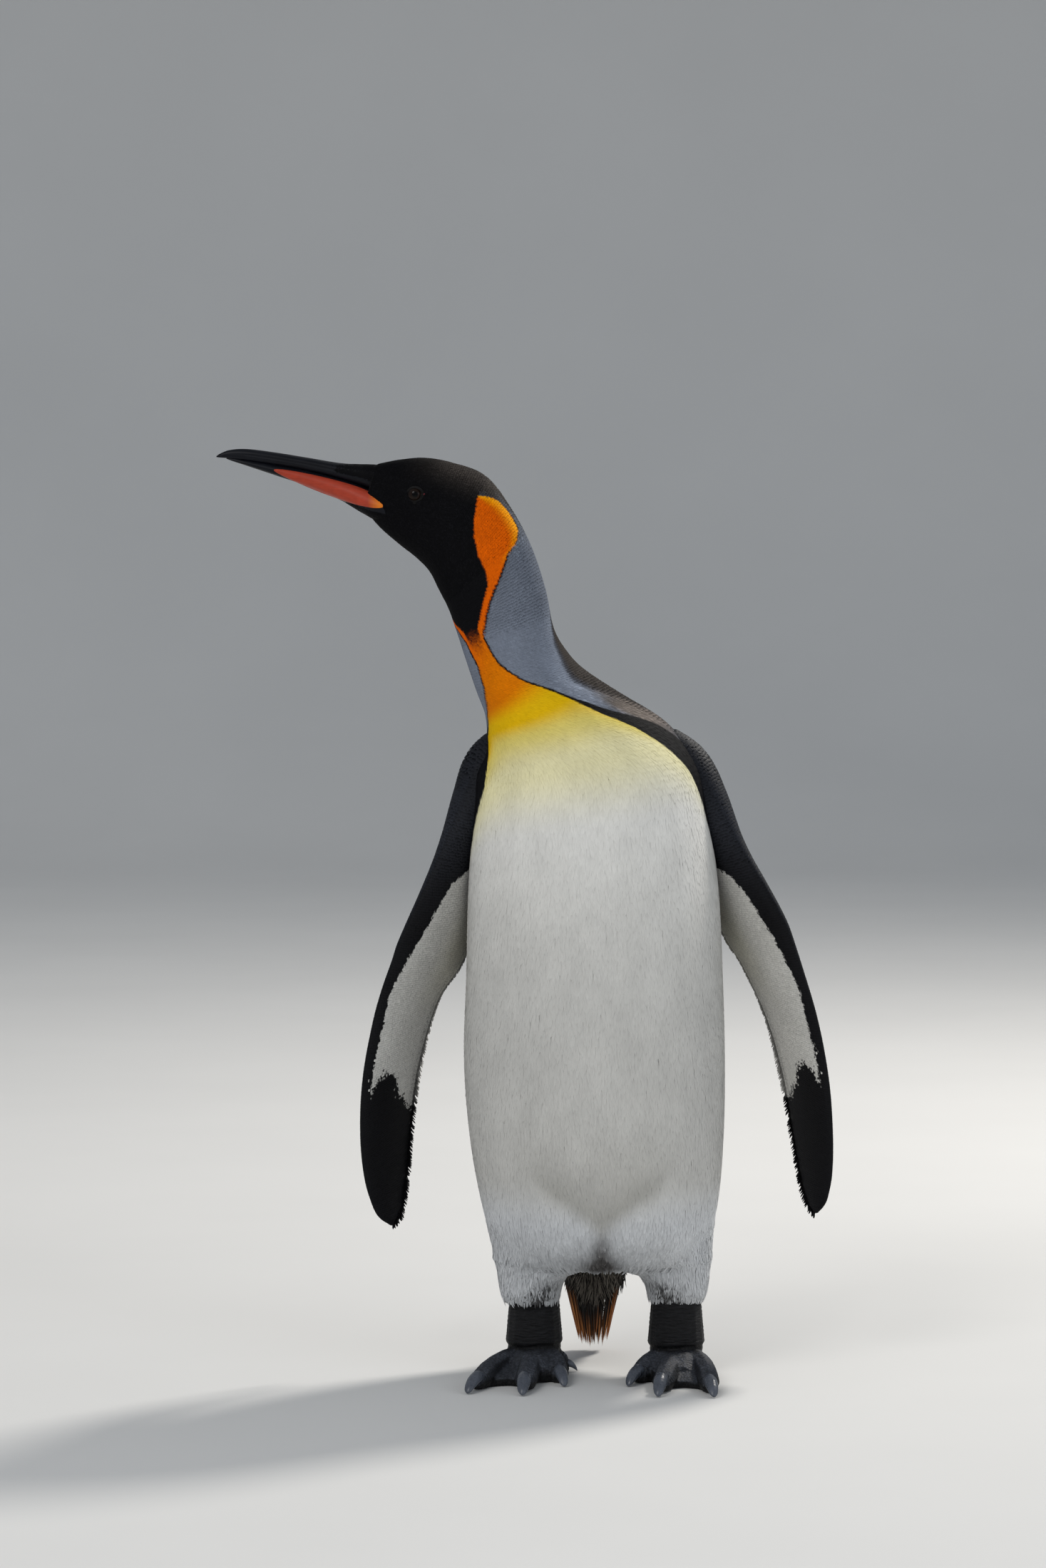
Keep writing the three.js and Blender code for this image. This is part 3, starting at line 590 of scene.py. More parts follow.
def inside_body(p, grown):
    """True where p lies inside the trunk and neck: tested on the ring whose plane is nearest."""
    s, centre, up, front, left = body_frame(np.linspace(0, 0.8, 161))
    height = p @ up.T - (centre * up).sum(-1)
    i = np.abs(height).argmin(-1)
    off = p - centre[i]
    deep = (off * front[i]).sum(-1)
    depth = np.where(deep > 0, s["f"][i], s["b"][i])
    across = np.abs((off * left[i]).sum(-1)) / (s["w"][i] + grown)
    within = (across**ROUND + (np.abs(deep) / (depth + grown)) ** ROUND) < 1
    return within & (p[..., 2] > BODY["z"][0])


def off_section(aside, behind, share):
    """Level distance from a section's outline; share is the distance from its centre over the outline's."""
    return np.hypot(aside, behind) * (1 - 1 / np.maximum(share, 1e-3))


def off_limb(columns, p):
    """How far p is outside an upright limb, less than 0 inside."""
    wide, deep, aside, behind = level_section(columns, p)
    return off_section(aside, behind, np.hypot(aside / wide, behind / deep))


def least(a, b, k):
    """The lesser of a and b, with the corner rounded off where they differ by less than k."""
    return np.minimum(a, b) - np.maximum(k - np.abs(a - b), 0) ** 2 / (4 * k)


def off_trunk(p):
    """How far p is outside the lower trunk: off its rings at the side, and below its rounded bottom."""
    wide, deep, aside, behind = level_section(HIP_RINGS, p, run=1)
    share = ((aside / wide) ** ROUND + (np.abs(behind) / deep) ** ROUND) ** (1 / ROUND)
    above = p[..., 2] - HIP_RINGS["z"][0] + 2.5 * MM
    return -least(-off_section(aside, behind, share), above, 12 * MM)


HIP_BLEND = 32 * MM  # how widely the plumage of trunk and legs runs together where they meet squarely
TAIL_BLEND = 12 * MM  # the same for the tail
HIP_TOP = 165 * MM  # above this height nothing is moved
HIP_RINGS = body_at(np.linspace(0.012, 0.25, 40))
HIPS = {
    "trunk": off_trunk,
    "right": lambda p: off_limb(RIGHT_LEG, p),
    "left": lambda p: off_limb(LEFT_LEG, p),
    "tail": lambda p: off_limb(TAIL_ROOT, p),
}


def slope_of(value, p):
    """Slope of a number over space, by steps of 0.4 mm."""
    step = 0.4 * MM
    base = value(p)
    return base, np.stack([value(p + axis) - base for axis in np.eye(3) * step], -1) / step


def hips_joined(own):
    """Function that moves points of one part of the hips to the blended surface of them all.

    A point keeps its height over its own part, and the other parts count as that much larger. Steps
    along the slope of the blended distance bring it there. Parts blend as widely as the angle between
    their surfaces is large, and not at all where they lie side by side. Above the hips nothing moves.
    """

    def joined(points, sunk):
        flat = points.reshape(-1, 3)
        near = np.flatnonzero(flat[:, 2] < HIP_TOP)
        p = start = flat[near]
        deep = np.broadcast_to(sunk, points.shape[:-1]).ravel()[near]
        level, along = slope_of(HIPS[own], p)
        others = []
        for name, off in HIPS.items():
            if name != own:
                apart = 1 - (unit(slope_of(off, p)[1]) * unit(along)).sum(-1)
                widest = TAIL_BLEND if "tail" in (name, own) else HIP_BLEND
                others.append((off, widest * np.clip(2.5 * apart, 0.02, 0.85)))

        def blended(p):
            value = HIPS[own](p) - level
            for off, k in others:
                value = least(value, off(p) + deep, k)
            return value

        for _ in range(6):
            value, slope = slope_of(blended, p)
            step = scaled(slope, value / np.maximum((slope**2).sum(-1), 0.3))
            p = p - scaled(step, np.minimum(1, 7 * MM / np.maximum(np.linalg.norm(step, axis=-1), 1e-9)))
        share = fade(HIP_TOP - start[:, 2], 0, 30 * MM)
        moved = flat.copy()
        moved[near] = mixed(start, p, share)
        return moved.reshape(points.shape)

    return joined


# ---- meshes -------------------------------------------------------------------------------------
def put(name, points, faces):
    """Smooth object from an array of points and a list of arrays of triangles or quads."""
    sizes = np.concatenate([np.full(len(f), f.shape[1]) for f in faces])
    corners = np.concatenate([f.ravel() for f in faces])
    mesh = bpy.data.meshes.new(name)
    mesh.vertices.add(len(points))
    mesh.vertices.foreach_set("co", np.ascontiguousarray(points, np.float32).ravel())
    mesh.loops.add(len(corners))
    mesh.loops.foreach_set("vertex_index", corners.astype(np.int32))
    mesh.polygons.add(len(sizes))
    mesh.polygons.foreach_set("loop_start", (np.cumsum(sizes) - sizes).astype(np.int32))
    mesh.polygons.foreach_set("use_smooth", np.full(len(sizes), True))
    mesh.update(calc_edges=True)
    obj = bpy.data.objects.new(name, mesh)
    bpy.context.scene.collection.objects.link(obj)
    return obj


def tube_quads(rows, around, joined=False):
    """Quads of a tube over rings of points; joined closes its last ring to its first."""
    i = np.arange(rows if joined else rows - 1)[:, None] * around
    j = np.arange(around)[None, :]
    k = (j + 1) % around
    n = (i + around) % (rows * around)
    return np.stack([i + j, i + k, n + k, n + j], -1).reshape(-1, 4)


def closed_grid(rings):
    """Points and faces of a tube over the rings (rows, around, 3), closed by a fan at each end."""
    rows, around = rings.shape[:2]
    ends = np.stack([rings[0].mean(0), rings[-1].mean(0)])
    first = rows * around
    j = np.arange(around)
    k = (j + 1) % around
    low = np.stack([k, j, np.full(around, first)], -1)
    high = np.stack([j, k, np.full(around, first + 1)], -1)
    high[:, :2] += (rows - 1) * around
    quads = tube_quads(rows, around)
    return np.concatenate([rings.reshape(-1, 3), ends]), [quads, np.concatenate([low, high])]


def outwards(points, faces):
    """The faces, turned round if the closed mesh they make is inside out."""
    volume = sum(
        (points[f[:, 0]] * np.cross(points[f[:, i]], points[f[:, i + 1]])).sum()
        for f in faces
        for i in range(1, f.shape[1] - 1)
    )
    return faces if volume > 0 else [f[:, ::-1] for f in faces]


def put_closed(name, rings):
    points, faces = closed_grid(rings)
    return put(name, points, outwards(points, faces))


def point_grid(surface, us, around, inset):
    """Rings of a surface at the given u, with inset as a number or one number for each ring."""
    u, a = np.meshgrid(us, full_turn(around, -np.pi), indexing="ij")
    deep = np.broadcast_to(np.asarray(inset, float).reshape(-1, 1), u.shape)
    return u, a, surface.point(u, a, deep)


def paint(obj, rgb):
    """The plumage's colours from an array with one row for each point."""
    layer = obj.data.attributes.new("plumage", "FLOAT_COLOR", "POINT")
    filled = np.ones((len(rgb), 4), np.float32)
    filled[:, :3] = rgb
    layer.data.foreach_set("color", filled.ravel())


def applied(obj):
    """The object with its modifiers made real."""
    graph = bpy.context.evaluated_depsgraph_get()
    made = bpy.data.meshes.new_from_object(obj.evaluated_get(graph))
    old = obj.data
    obj.modifiers.clear()
    obj.data = made
    bpy.data.meshes.remove(old)
    return obj


def read_vectors(items, key):
    found = np.empty(len(items) * 3, np.float32)
    items.foreach_get(key, found)
    return found.reshape(-1, 3).astype(float)


def points_of(mesh):
    return read_vectors(mesh.vertices, "co")


def united(first, others):
    """The union of closed objects, as one mesh; the others are removed."""
    for other in others:
        step = first.modifiers.new("union", "BOOLEAN")
        step.operation = "UNION"
        step.solver = "MANIFOLD"
        step.object = other
    applied(first)
    for other in others:
        bpy.data.objects.remove(other)
    return first


def finish_piece(obj, slot, material, *nodes):
    """Gives a piece its material and body, and hides the frame nodes that it stands for. slot is not used."""
    obj.data.materials.clear()
    obj.data.materials.append(material)
    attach(obj, BODY_NAME)
    if nodes:
        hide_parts(*nodes)
    return obj


# ---- materials ----------------------------------------------------------------------------------
class Nodes:
    """Short way to write a material's nodes; steps take and give output sockets."""

    def __init__(self, name, **sockets):
        self.material = bpy.data.materials.new(name)
        self.material.use_nodes = True
        self.tree = self.material.node_tree
        self.shader = self.tree.nodes["Principled BSDF"]
        self.set(self.shader, **sockets)

    def set(self, node, **sockets):
        """Sets numbers on a node's own sockets; _ stands for a space in their names."""
        for key, value in sockets.items():
            node.inputs[key.replace("_", " ")].default_value = value

    def add(self, kind, _links=(), **sockets):
        """New node; _links are (own input, another node's output)."""
        node = self.tree.nodes.new("ShaderNode" + kind)
        for own, output in _links:
            self.tree.links.new(output, node.inputs[own])
        self.set(node, **sockets)
        return node

    def to_shader(self, socket, output):
        self.tree.links.new(output, self.shader.inputs[socket])

    def attribute(self, name, output):
        node = self.add("Attribute")
        node.attribute_name = name
        return node.outputs[output]

    def object_place(self):
        return self.add("TexCoord").outputs["Object"]

    def placed(self, source, scale, location=(0, 0, 0)):
        return self.add("Mapping", [("Vector", source)], Scale=scale, Location=location).outputs["Vector"]

    def noise(self, source, scale, detail=4.0):
        node = self.add("TexNoise", [("Vector", source)], Scale=scale, Detail=detail, Roughness=0.55)
        return node.outputs["Fac"]

    def ranged(self, value, low, high, to_low, to_high):
        node = self.add("MapRange", [("Value", value)])
        self.set(node, From_Min=low, From_Max=high, To_Min=to_low, To_Max=to_high)
        return node.outputs["Result"]

    def blend(self, factor, first, second, kind="MIX"):
        """Mix of two colours by a factor, each an output or a set value."""
        node = self.add("Mix")
        node.data_type = "RGBA"
        node.blend_type = kind
        for i, value in zip(MIX_INPUTS, (factor, first, second)):
            if isinstance(value, bpy.types.NodeSocket):
                self.tree.links.new(value, node.inputs[i])
            else:
                node.inputs[i].default_value = (*value, 1) if i else value
        return node.outputs[MIX_OUTPUT]

    def times(self, colour_output, grey):
        """Colour times a grey factor."""
        return self.blend(1.0, colour_output, grey, "MULTIPLY")

    def bump(self, height, strength, distance, under=None):
        links = [("Height", height)]
        if under:
            links.append(("Normal", under))
        return self.add("Bump", links, Strength=strength, Distance=distance).outputs["Normal"]


MIX_INPUTS, MIX_OUTPUT = (0, 6, 7), 2  # factor and colours of the Mix node, and its colour


def feather_material(name, roughness, gloss, streaks, relief):
    """Painted feathers: each vane streaked along its barbs, and clouded over the coat."""
    n = Nodes(name, Roughness=roughness, Specular_IOR_Level=gloss)
    plumage = n.attribute("plumage", "Color")
    barbs = n.attribute("barb", "Vector")
    streak = n.noise(n.placed(barbs, (1900, 110, 40)), 1.0, 3.0)
    cloud = n.noise(n.placed(n.object_place(), (14, 14, 9)), 3.0, 3.0)
    tone = n.ranged(streak, 0.25, 0.75, 1 - streaks, 1 + streaks * 0.6)
    wash = n.ranged(cloud, 0.3, 0.7, 0.93, 1.05)
    n.to_shader("Base Color", n.times(n.times(plumage, tone), wash))
    n.to_shader("Roughness", n.ranged(streak, 0.2, 0.8, roughness - 0.08, roughness + 0.12))
    n.to_shader("Normal", n.bump(streak, relief, 0.0003))
    return n.material


def skin_material():
    """Painted skin; where it is bare it has small domed scales, wrinkled level round the tarsi, its colour
    lighter on the scales and folds and darker between them as painted highlight and shade.
    """
    n = Nodes("skin", Roughness=0.6, Specular_IOR_Level=0.22)
    plumage = n.attribute("plumage", "Color")
    place = n.object_place()
    even = n.placed(place, (1, 1, 1))
    domes = n.add("TexVoronoi", [("Vector", even)], Scale=430.0).outputs["Distance"]
    small = n.add("TexVoronoi", [("Vector", even)], Scale=950.0).outputs["Distance"]
    wrinkle = n.noise(n.placed(place, (110, 110, 620)), 1.0)
    cloud = n.noise(even, 60.0)
    level = n.add("SeparateXYZ", [("Vector", place)]).outputs["Z"]
    shank = n.ranged(level, 0.024, 0.03, 0.0, 1.0)
    dome = n.ranged(domes, 0.0, 0.75, 1.0, 0.0)
    folds = n.ranged(wrinkle, 0.35, 0.65, 0.0, 1.0)
    height = n.blend(shank, dome, folds)
    # Painted highlight and shade: lighter where the relief is high, darker where it is low.
    tone = n.ranged(height, 0.1, 0.9, 0.6, 1.35)
    wash = n.ranged(cloud, 0.3, 0.7, 0.75, 1.35)
    n.to_shader("Base Color", n.times(n.times(plumage, tone), wash))
    fine = n.bump(n.ranged(small, 0.0, 0.8, 1.0, 0.0), 0.5, 0.0003)
    n.to_shader("Normal", n.bump(height, 0.7, 0.0007, fine))
    dull = n.ranged(level, 0.1, 0.12, 0.0, 1.0)
    wet = n.ranged(cloud, 0.3, 0.7, 0.55, 0.72)
    n.to_shader("Roughness", n.blend(dull, wet, (0.85, 0.85, 0.85)))
    return n.material


def horn_material(name, rgb, pale, dark, roughness, gloss, grown):
    """Horn with faint growth lines, their scale grown, clouded between pale and dark times its colour."""
    n = Nodes(name, Roughness=roughness, Specular_IOR_Level=gloss)
    place = n.object_place()
    lines = n.noise(n.placed(place, grown), 1.0)
    cloud = n.noise(n.placed(place, (1, 1, 1)), 90.0)
    base = n.blend(cloud, tint(rgb, dark), tint(rgb, pale))
    tone = n.ranged(lines, 0.3, 0.7, 0.75, 1.25)
    n.to_shader("Base Color", n.times(base, tone))
    n.to_shader("Roughness", n.ranged(cloud, 0.3, 0.7, roughness - 0.08, roughness + 0.12))
    n.to_shader("Normal", n.bump(lines, 0.18, 0.0003))
    return n.material


def tint(rgb, k):
    return tuple(min(c * k, 1.0) for c in rgb)


# ---- markings -----------------------------------------------------------------------------------
def palette():
    group = bpy.context.scene.penguin_colours
    return {k: np.array(getattr(group, k)) for k in PenguinColours.__annotations__}


def pale_front(u, d, share, c):
    """White belly, painted lighter high up and darker towards the bottom, with painted shade, partly stain,
    above the thighs and painted cool light on them, and the breast's bands up to the throat.

    d is the angle from the front line and share its signed part of the way to the rear edge.
    """
    v = u - (0.011 + 0.013 * fade(0.64 - u, 0, 0.08)) * share + 0.035 * share**6 * fade(0.67 - u, 0, 0.06)
    # Painted light and shade: the white is lighter high on the breast and darker towards the bottom.
    rgb = mixed(c["white"] * 1.12, c["white"] * 0.82, fade(0.56 - u, 0, 0.26))
    for name, low, high in BANDS:
        rgb = mixed(rgb, c[name], fade(v, low, high))
    edge = curve(d, THIGHS)
    thigh = fade(edge - u, -0.02, 0.014)
    uneven = 0.72 + 0.28 * np.exp(-(((d - 18) / 11) ** 2))
    # Painted shade, partly stain, on the belly just above the thighs' top edge.
    soiled = (1 - thigh) * np.exp(-np.maximum(u - edge, 0) / 0.038) * fade(46 - d, 0, 28) * uneven
    rgb = mixed(rgb, c["soiled"], 0.92 * soiled)
    # Thighs: from the belly's painted shade at their top to painted cool light lower down.
    rgb = mixed(rgb, mixed(c["white"] * 0.82, c["white"] * THIGH_COOL_LIGHT, fade(0.14 - u, 0, 0.06)), thigh)
    vent = 1.1 * np.exp(-((d / 12) ** 2) - ((u - 0.03) / 0.02) ** 2)
    vent += 0.6 * np.exp(-((d / 4.5) ** 2) - ((u - 0.06) / 0.018) ** 2)
    return mixed(rgb, c["nape"], np.clip(vent, 0, 0.93))


def upperparts(u, d, dark, c):
    """Grey sides of the neck with a painted silver sheen low on them, dark back and mantle, brownish nape and
    crown.
    """
    # Painted sheen: the grey turns silvery where the neck meets the mantle.
    silver_sheen = fade(u, 0.66, 0.69) * fade(0.74 - u, 0, 0.04) * fade(d, 58, 76) * (1 - dark)
    shade = 1 - 0.12 * fade(u, 0.79, 0.83) + 0.25 * fade(0.785 - u, 0, 0.025)
    rgb = mixed(scaled(c["grey"], shade), c["grey"] * 1.5, silver_sheen)
    rgb = mixed(rgb, c["slate"], dark)
    brown = fade(u, 0.585, 0.63) * fade(0.68 - u, 0, 0.03) * fade(d, 66, 78) * fade(118 - d, 0, 25)
    rgb = mixed(rgb, c["nape"] * 2.4, brown)
    rgb = mixed(rgb, c["nape"] * 0.6, fade(d - curve(u, NAPE), 0, 14) * fade(u, 0.6, 0.64))
    return mixed(rgb, c["nape"] * 0.8, fade(u, 0.835, 0.885) * fade(d, 100, 140))


def body_marks(u, a, c):
    """Colour of the body's plumage at (u, a), and a feather's tones at its root and tip.

    Angles are measured from the plumage's own front line, and both sides are alike.
    """
    turned = wrapped(np.degrees(a) - curve(u, DRIFT))
    d = np.abs(turned)
    rear = curve(u, REAR)
    lead = curve(u, LEAD)
    dark = np.maximum(fade(0.672 - u, 0, 0.05), fade(d - curve(u, NAPE), -2, 5))
    rim = fade(rear + curve(u, LINE) - d, -0.6, 0.6)
    front = pale_front(u, d, np.clip(turned / rear, -1, 1), c)
    back = mixed(upperparts(u, d, dark, c), c["black"], rim)
    rgb = mixed(front, back, fade(d, rear - 0.5, rear + 0.5))

    # Ear patch, golden at its rear edge as painted sunlight, and the black hood in front of it.
    toward = np.clip((d - lead) / np.maximum(rear - lead, 1e-6), 0, 1)
    sunlit_edge = fade(toward, 0.6, 1) * fade(u, 0.825, 0.85)
    rgb = np.where(((d < rear) & (u > 0.8))[..., None], mixed(c["patch"], c["gold"], sunlit_edge), rgb)
    blur = 0.7 + 4 * fade(0.79 - u, 0, 0.03)
    hood = fade(lead - d, -blur, blur) * fade(u, 0.744, 0.786)
    hood = np.where(u >= HOOD, 1, hood)
    crown = 0.75 * fade(d, 105, 150) * fade(1 - u, 0.02, 0.09)
    rgb = mixed(rgb, mixed(c["black"] + 0 * rgb, c["nape"], np.where(u >= HOOD, crown, 0)), hood)

    # Tones: dark feathers have paler tips, partly their own colour and partly painted glints, most so on the
    # back and over the crown. Roots are darker, partly painted shade deep in the coat, and pale roots darker
    # towards the bottom.
    bright = rgb.max(-1)
    frost_and_glint = dark * fade(u, 0.35, 0.5) * fade(0.83 - u, 0, 0.03) * (1 - rim)
    frost_and_glint = np.maximum(frost_and_glint, 0.9 * fade(u, 0.83, 0.87) * fade(d, 110, 150) * fade(0.95 - u, 0, 0.03))
    pale_root = 0.96 - 0.12 * fade(0.13 - u, 0, 0.06)
    root = np.where(bright > PALE, pale_root, np.where(bright > DUSKY, 0.6, 0.45))
    tip = np.where(bright > PALE, 1.01, np.where(bright > DUSKY, 1.28, 1.3 + 1.7 * frost_and_glint))
    return rgb, root, tip


def flipper_marks(u, a, side, c):
    """Colour of a flipper: black outside, and a white inner face with black edge and tip."""
    across = np.cos(a)
    inner = side * np.sin(a) > 0
    ragged = 0.008 * np.sin(u * 690) + 0.01 * np.sin(u * 173 + 1)
    white = inner & (u > WHITE_EDGE[0][0]) & (across < curve(u, WHITE_EDGE) + ragged)
    white &= u < curve(across, TIP_EDGE) + 0.4 * ragged
    outer = mixed(c["black"], c["slate"], 0.6 * fade(0.6 - u, 0, 0.5))
    sheen = mixed(c["black"], c["slate"], 0.4 * fade(0.4 - u, 0, 0.25) * fade(across, 0.0, 0.8))
    rgb = np.where(inner[..., None], sheen, outer)
    rim = (across < -0.93) & (u > 0.3)
    rgb = np.where(rim[..., None], mixed(c["white"] * 0.95, c["black"], fade(u, 0.68, 0.78)), rgb)
    cream = mixed(c["white"], c["cream"], 0.3 * fade(-across, -0.2, 0.7) * fade(0.6 - u, 0, 0.2))
    rgb = np.where(white[..., None], cream * 0.95, rgb)
    # Tones: roots darker, most near the rear edge, partly painted shade deep in the coat; the dark feathers'
    # much paler tips are painted highlights in rows, less so near the shoulder.
    pale = rgb.max(-1) > PALE
    gaps = 0.35 * fade(-across, 0.5, 0.85) * fade(u, 0.42, 0.62)
    return rgb, np.where(pale, 0.7 - gaps, 0.55), np.where(pale, 1.04, 1.9 - 0.9 * fade(0.2 - u, 0, 0.12))


def leg_marks(u, a, side, c):
    """Colour of a leg: white under painted cool light, with a dusky stroke that runs down its inner side to
    the front.
    """
    inner = wrapped(-side * np.degrees(a))
    middle = 62 - 45 * np.clip((u - 0.66) / 0.3, 0, 1.2)
    stroke = np.exp(-(((inner - middle) / 19) ** 2)) * fade(u, 0.7, 0.88)
    inside = 0.3 * np.exp(-(((inner - 110) / 35) ** 2)) * fade(u, 0.5, 0.9)
    smudge = 0.4 * np.exp(-(((inner + 2) / 5) ** 2) - ((u - 0.55) / 0.05) ** 2)
    # White with painted cool light.
    rgb = mixed(c["white"] * THIGH_COOL_LIGHT, c["nape"] * 0.5, np.clip(stroke + inside + smudge, 0, 0.93))
    # Darker roots: partly painted shade deep in the coat.
    return rgb, np.full(u.shape, 0.8), np.full(u.shape, 1.03)


# ---- feathers -----------------------------------------------------------------------------------
def rooted_rows(surface, span, spacing, random, jitter=0.25):
    """Roots in staggered rings: (u, a). spacing(u) gives the steps along the lie and round it.

    Rows follow the surface's mean length along u, and roots are evenly spaced by length round a row.
    jitter is their unevenness, in spacings.
    """
    us = np.linspace(*span, 240)
    u, a = np.meshgrid(us, np.linspace(-np.pi, np.pi, 48), indexing="ij")
    step = np.linalg.norm(np.diff(surface.point(u, a, 0), axis=0), axis=-1).mean(1)
    middle = (us[1:] + us[:-1]) / 2
    count = np.concatenate([[0], np.cumsum(step / spacing(middle)[0])])
    rows = np.interp(np.arange(0.5, count[-1]), count, us)
    found = []
    turn = np.linspace(-np.pi, np.pi, 361)
    for i, u in enumerate(rows):
        ring = surface.point(np.full(turn.shape, u), turn, 0)
        length = np.concatenate([[0], np.cumsum(np.linalg.norm(np.diff(ring, axis=0), axis=-1))])
        row, gap = spacing(u)
        n = max(int(length[-1] / gap), 3)
        place = (np.arange(n) + 0.5 * (i % 2) + random.uniform(-jitter, jitter, n)) / n
        a = np.interp((place % 1) * length[-1], length, turn)
        du = (us[1] - us[0]) * row / np.interp(u, middle, step)
        found.append(np.stack([np.full(n, u) + random.uniform(-jitter, jitter, n) * du, a]))
    u, a = np.concatenate(found, axis=1)
    return np.clip(u, 0, 1), a


def vane_shape(places, widths, keel):
    """Points of a closed vane as rows (along, across, height), and its triangles.

    It has a root point, three-cornered sections at the places along it, and a tip point. Along goes
    from 0 to 1; across and height are in half widths: the corners lie low and the middle is a keel.
    """
    rows = [(0, 0, 0)]
    for t, wide in zip(places, widths):
        rows += [(t, -wide, -keel), (t, 0, keel), (t, wide, -keel)]
    rows.append((1, 0, 0))
    tip = len(rows) - 1
    tris = [(0, 2, 1), (0, 3, 2), (0, 1, 3)]
    for s in range(1, tip - 3, 3):
        for i, j in ((0, 1), (1, 2), (2, 0)):
            p, q = s + i, s + j
            tris += [(p, q, q + 3), (p, q + 3, p + 3)]
    s = tip - 3
    tris += [(s, s + 1, tip), (s + 1, s + 2, tip), (s + 2, s, tip)]
    return np.array(rows, float), np.array(tris)


NARROW = vane_shape((0.4, 0.82), (1.0, 0.72), keel=0.03)
BROAD = vane_shape((0.42, 0.86), (1.0, 0.8), keel=0.03)
BLUNT = vane_shape((0.5, 0.92), (1.0, 0.86), keel=0.08)
SLIM = vane_shape((0.62,), (1.0,), keel=0.05)
BRISTLE = vane_shape((0.45, 0.7, 0.88), (1.0, 0.85, 0.6), keel=0.5)


def put_vanes(name, points, colours, shape, barb, unwrap):
    """One mesh of many vanes, from their points and colours (vane, corner, 3).

    Edges along the vanes' sides are sharp, so that the two faces of a vane are shaded apart.
    barb gives each corner's place on its vane, in metres, and unwrap each root's place on the map.
    """
    rows, tris = shape
    n, k = points.shape[:2]
    faces = (tris[None] + (np.arange(n) * k)[:, None, None]).reshape(-1, 3)
    flat = points.reshape(-1, 3)
    faces = outwards(flat, [faces])
    obj = put(name, flat, faces)
    mesh = obj.data
    side = rows[:, 1] != 0
    end = (rows[:, 1] == 0) & (rows[:, 2] == 0)
    same = np.sign(rows[:, 1])[:, None] == np.sign(rows[:, 1])[None, :]
    to_end = side[:, None] & end[None, :]
    along_side = (side[:, None] & side[None, :] & same) | to_end | to_end.T
    ends = np.empty(len(mesh.edges) * 2, np.int32)
    mesh.edges.foreach_get("vertices", ends)
    ends = ends.reshape(-1, 2) % k
    sharp = mesh.attributes.new("sharp_edge", "BOOLEAN", "EDGE")
    sharp.data.foreach_set("value", along_side[ends[:, 0], ends[:, 1]])
    paint(obj, colours.reshape(-1, 3))
    layer = mesh.attributes.new("barb", "FLOAT_VECTOR", "POINT")
    layer.data.foreach_set("vector", barb.astype(np.float32).ravel())
    spot = np.stack([rows[:, 1] * 0.5, rows[:, 0] - 0.5], -1) * PATCH
    per_point = (unwrap[:, None, :] + spot[None]).reshape(-1, 2)
    uv = mesh.uv_layers.new(name="OFBake")
    uv.data.foreach_set("uv", per_point[faces[0].ravel()].astype(np.float32).ravel())
    return obj


def feathers(
    name, surface, u, a, size, marks, shape, random, sway, hug, flow=0.0, bent=0.0, late=2.0, uneven=0.02,
    joined=None,
):
    """Vanes rooted at (u, a) that lie along the surface and follow its curve.

    A vane's corner is reached from its root by going along and across on the surface. It is sunk
    by depth at the root, and rises to the surface, or lift over it, at the tip. sway is the
    unevenness of the lie and flow its turn, in degrees. Where hug is 0 the vane goes straight on.
    bent curves it aside. marks(u, a) gives colour, and its tones at the root and tip; a darker root is partly
    painted shade deep in the coat. late is how late the tone turns, and uneven its change from vane to vane.
    joined moves the corners to a blended surface.
    """
    rows, _ = shape
    n = len(u)
    place, out, lie, per_u, per_a = surface.frame(u, a)
    turn = np.radians(flow + random.normal(0, sway, n))
    side = np.cross(out, lie)
    ahead = scaled(lie, np.cos(turn)) + scaled(side, np.sin(turn))
    aside = scaled(side, np.cos(turn)) - scaled(lie, np.sin(turn))
    off_u = random.normal(0, 0.1, n) * size["width"] / per_u
    off_a = random.normal(0, 0.1, n) * size["width"] / per_a
    own = random.normal(1, uneven, n)
    hug = np.broadcast_to(hug, (n,))
    points, colours, barb, depths = [], [], [], []
    for t, across, height in rows:
        d = size["length"] * t
        o = size["width"] / 2 * across + bent * size["length"] * t * t
        on_u = u + surface.lie * (d * np.cos(turn) - o * np.sin(turn)) / per_u
        on_a = a - surface.lie * surface.sense * (d * np.sin(turn) + o * np.cos(turn)) / per_a
        sunk = size["depth"] * 0.94 * (1 - t) ** 3 - size["lift"] * t * t - height * size["width"] / 2
        straight = place + scaled(ahead, d) + scaled(aside, o) - scaled(out, sunk)
        points.append(mixed(straight, surface.reach(on_u, on_a, sunk), hug))
        rgb, root, tip = marks(on_u + off_u, on_a + off_a)
        tone = own * (root + (tip - root) * t**late)
        colours.append(scaled(rgb, tone))
        barb.append(vector(o, d, own * 7))
        depths.append(np.broadcast_to(sunk, (n,)))
    points = np.stack(points, 1)
    if joined:
        points = mixed(points, joined(points, np.stack(depths, 1)), hug[:, None])
    return put_vanes(name, points, np.stack(colours, 1), shape, np.stack(barb, 1), spread_map(u, a))


def spread_map(u, a):
    """The roots' places on the skin's own unwrap, u up and a across, fitted to the unit square."""
    def fit(v):
        return 0.01 + 0.98 * (v - v.min()) / max(np.ptp(v), 1e-6)

    return np.stack([fit(a), fit(u)], -1)


def eye_distance(p):
    """Distance from the eyes' axis, which crosses the head level."""
    return np.hypot(p[..., 0] - EYE["x"], p[..., 2] - EYE["z"])


def grain(key, u):
    return np.interp(u, GRAIN_AT, GRAIN[key])


def satin(key, u):
    return np.interp(u, SATIN_AT, SATIN[key])


# ---- skin ---------------------------------------------------------------------------------------
def skin_inset(u):
    """Depth of the coat over the skin."""
    return grain("depth", u) * bpy.context.scene.penguin_sizes.depth


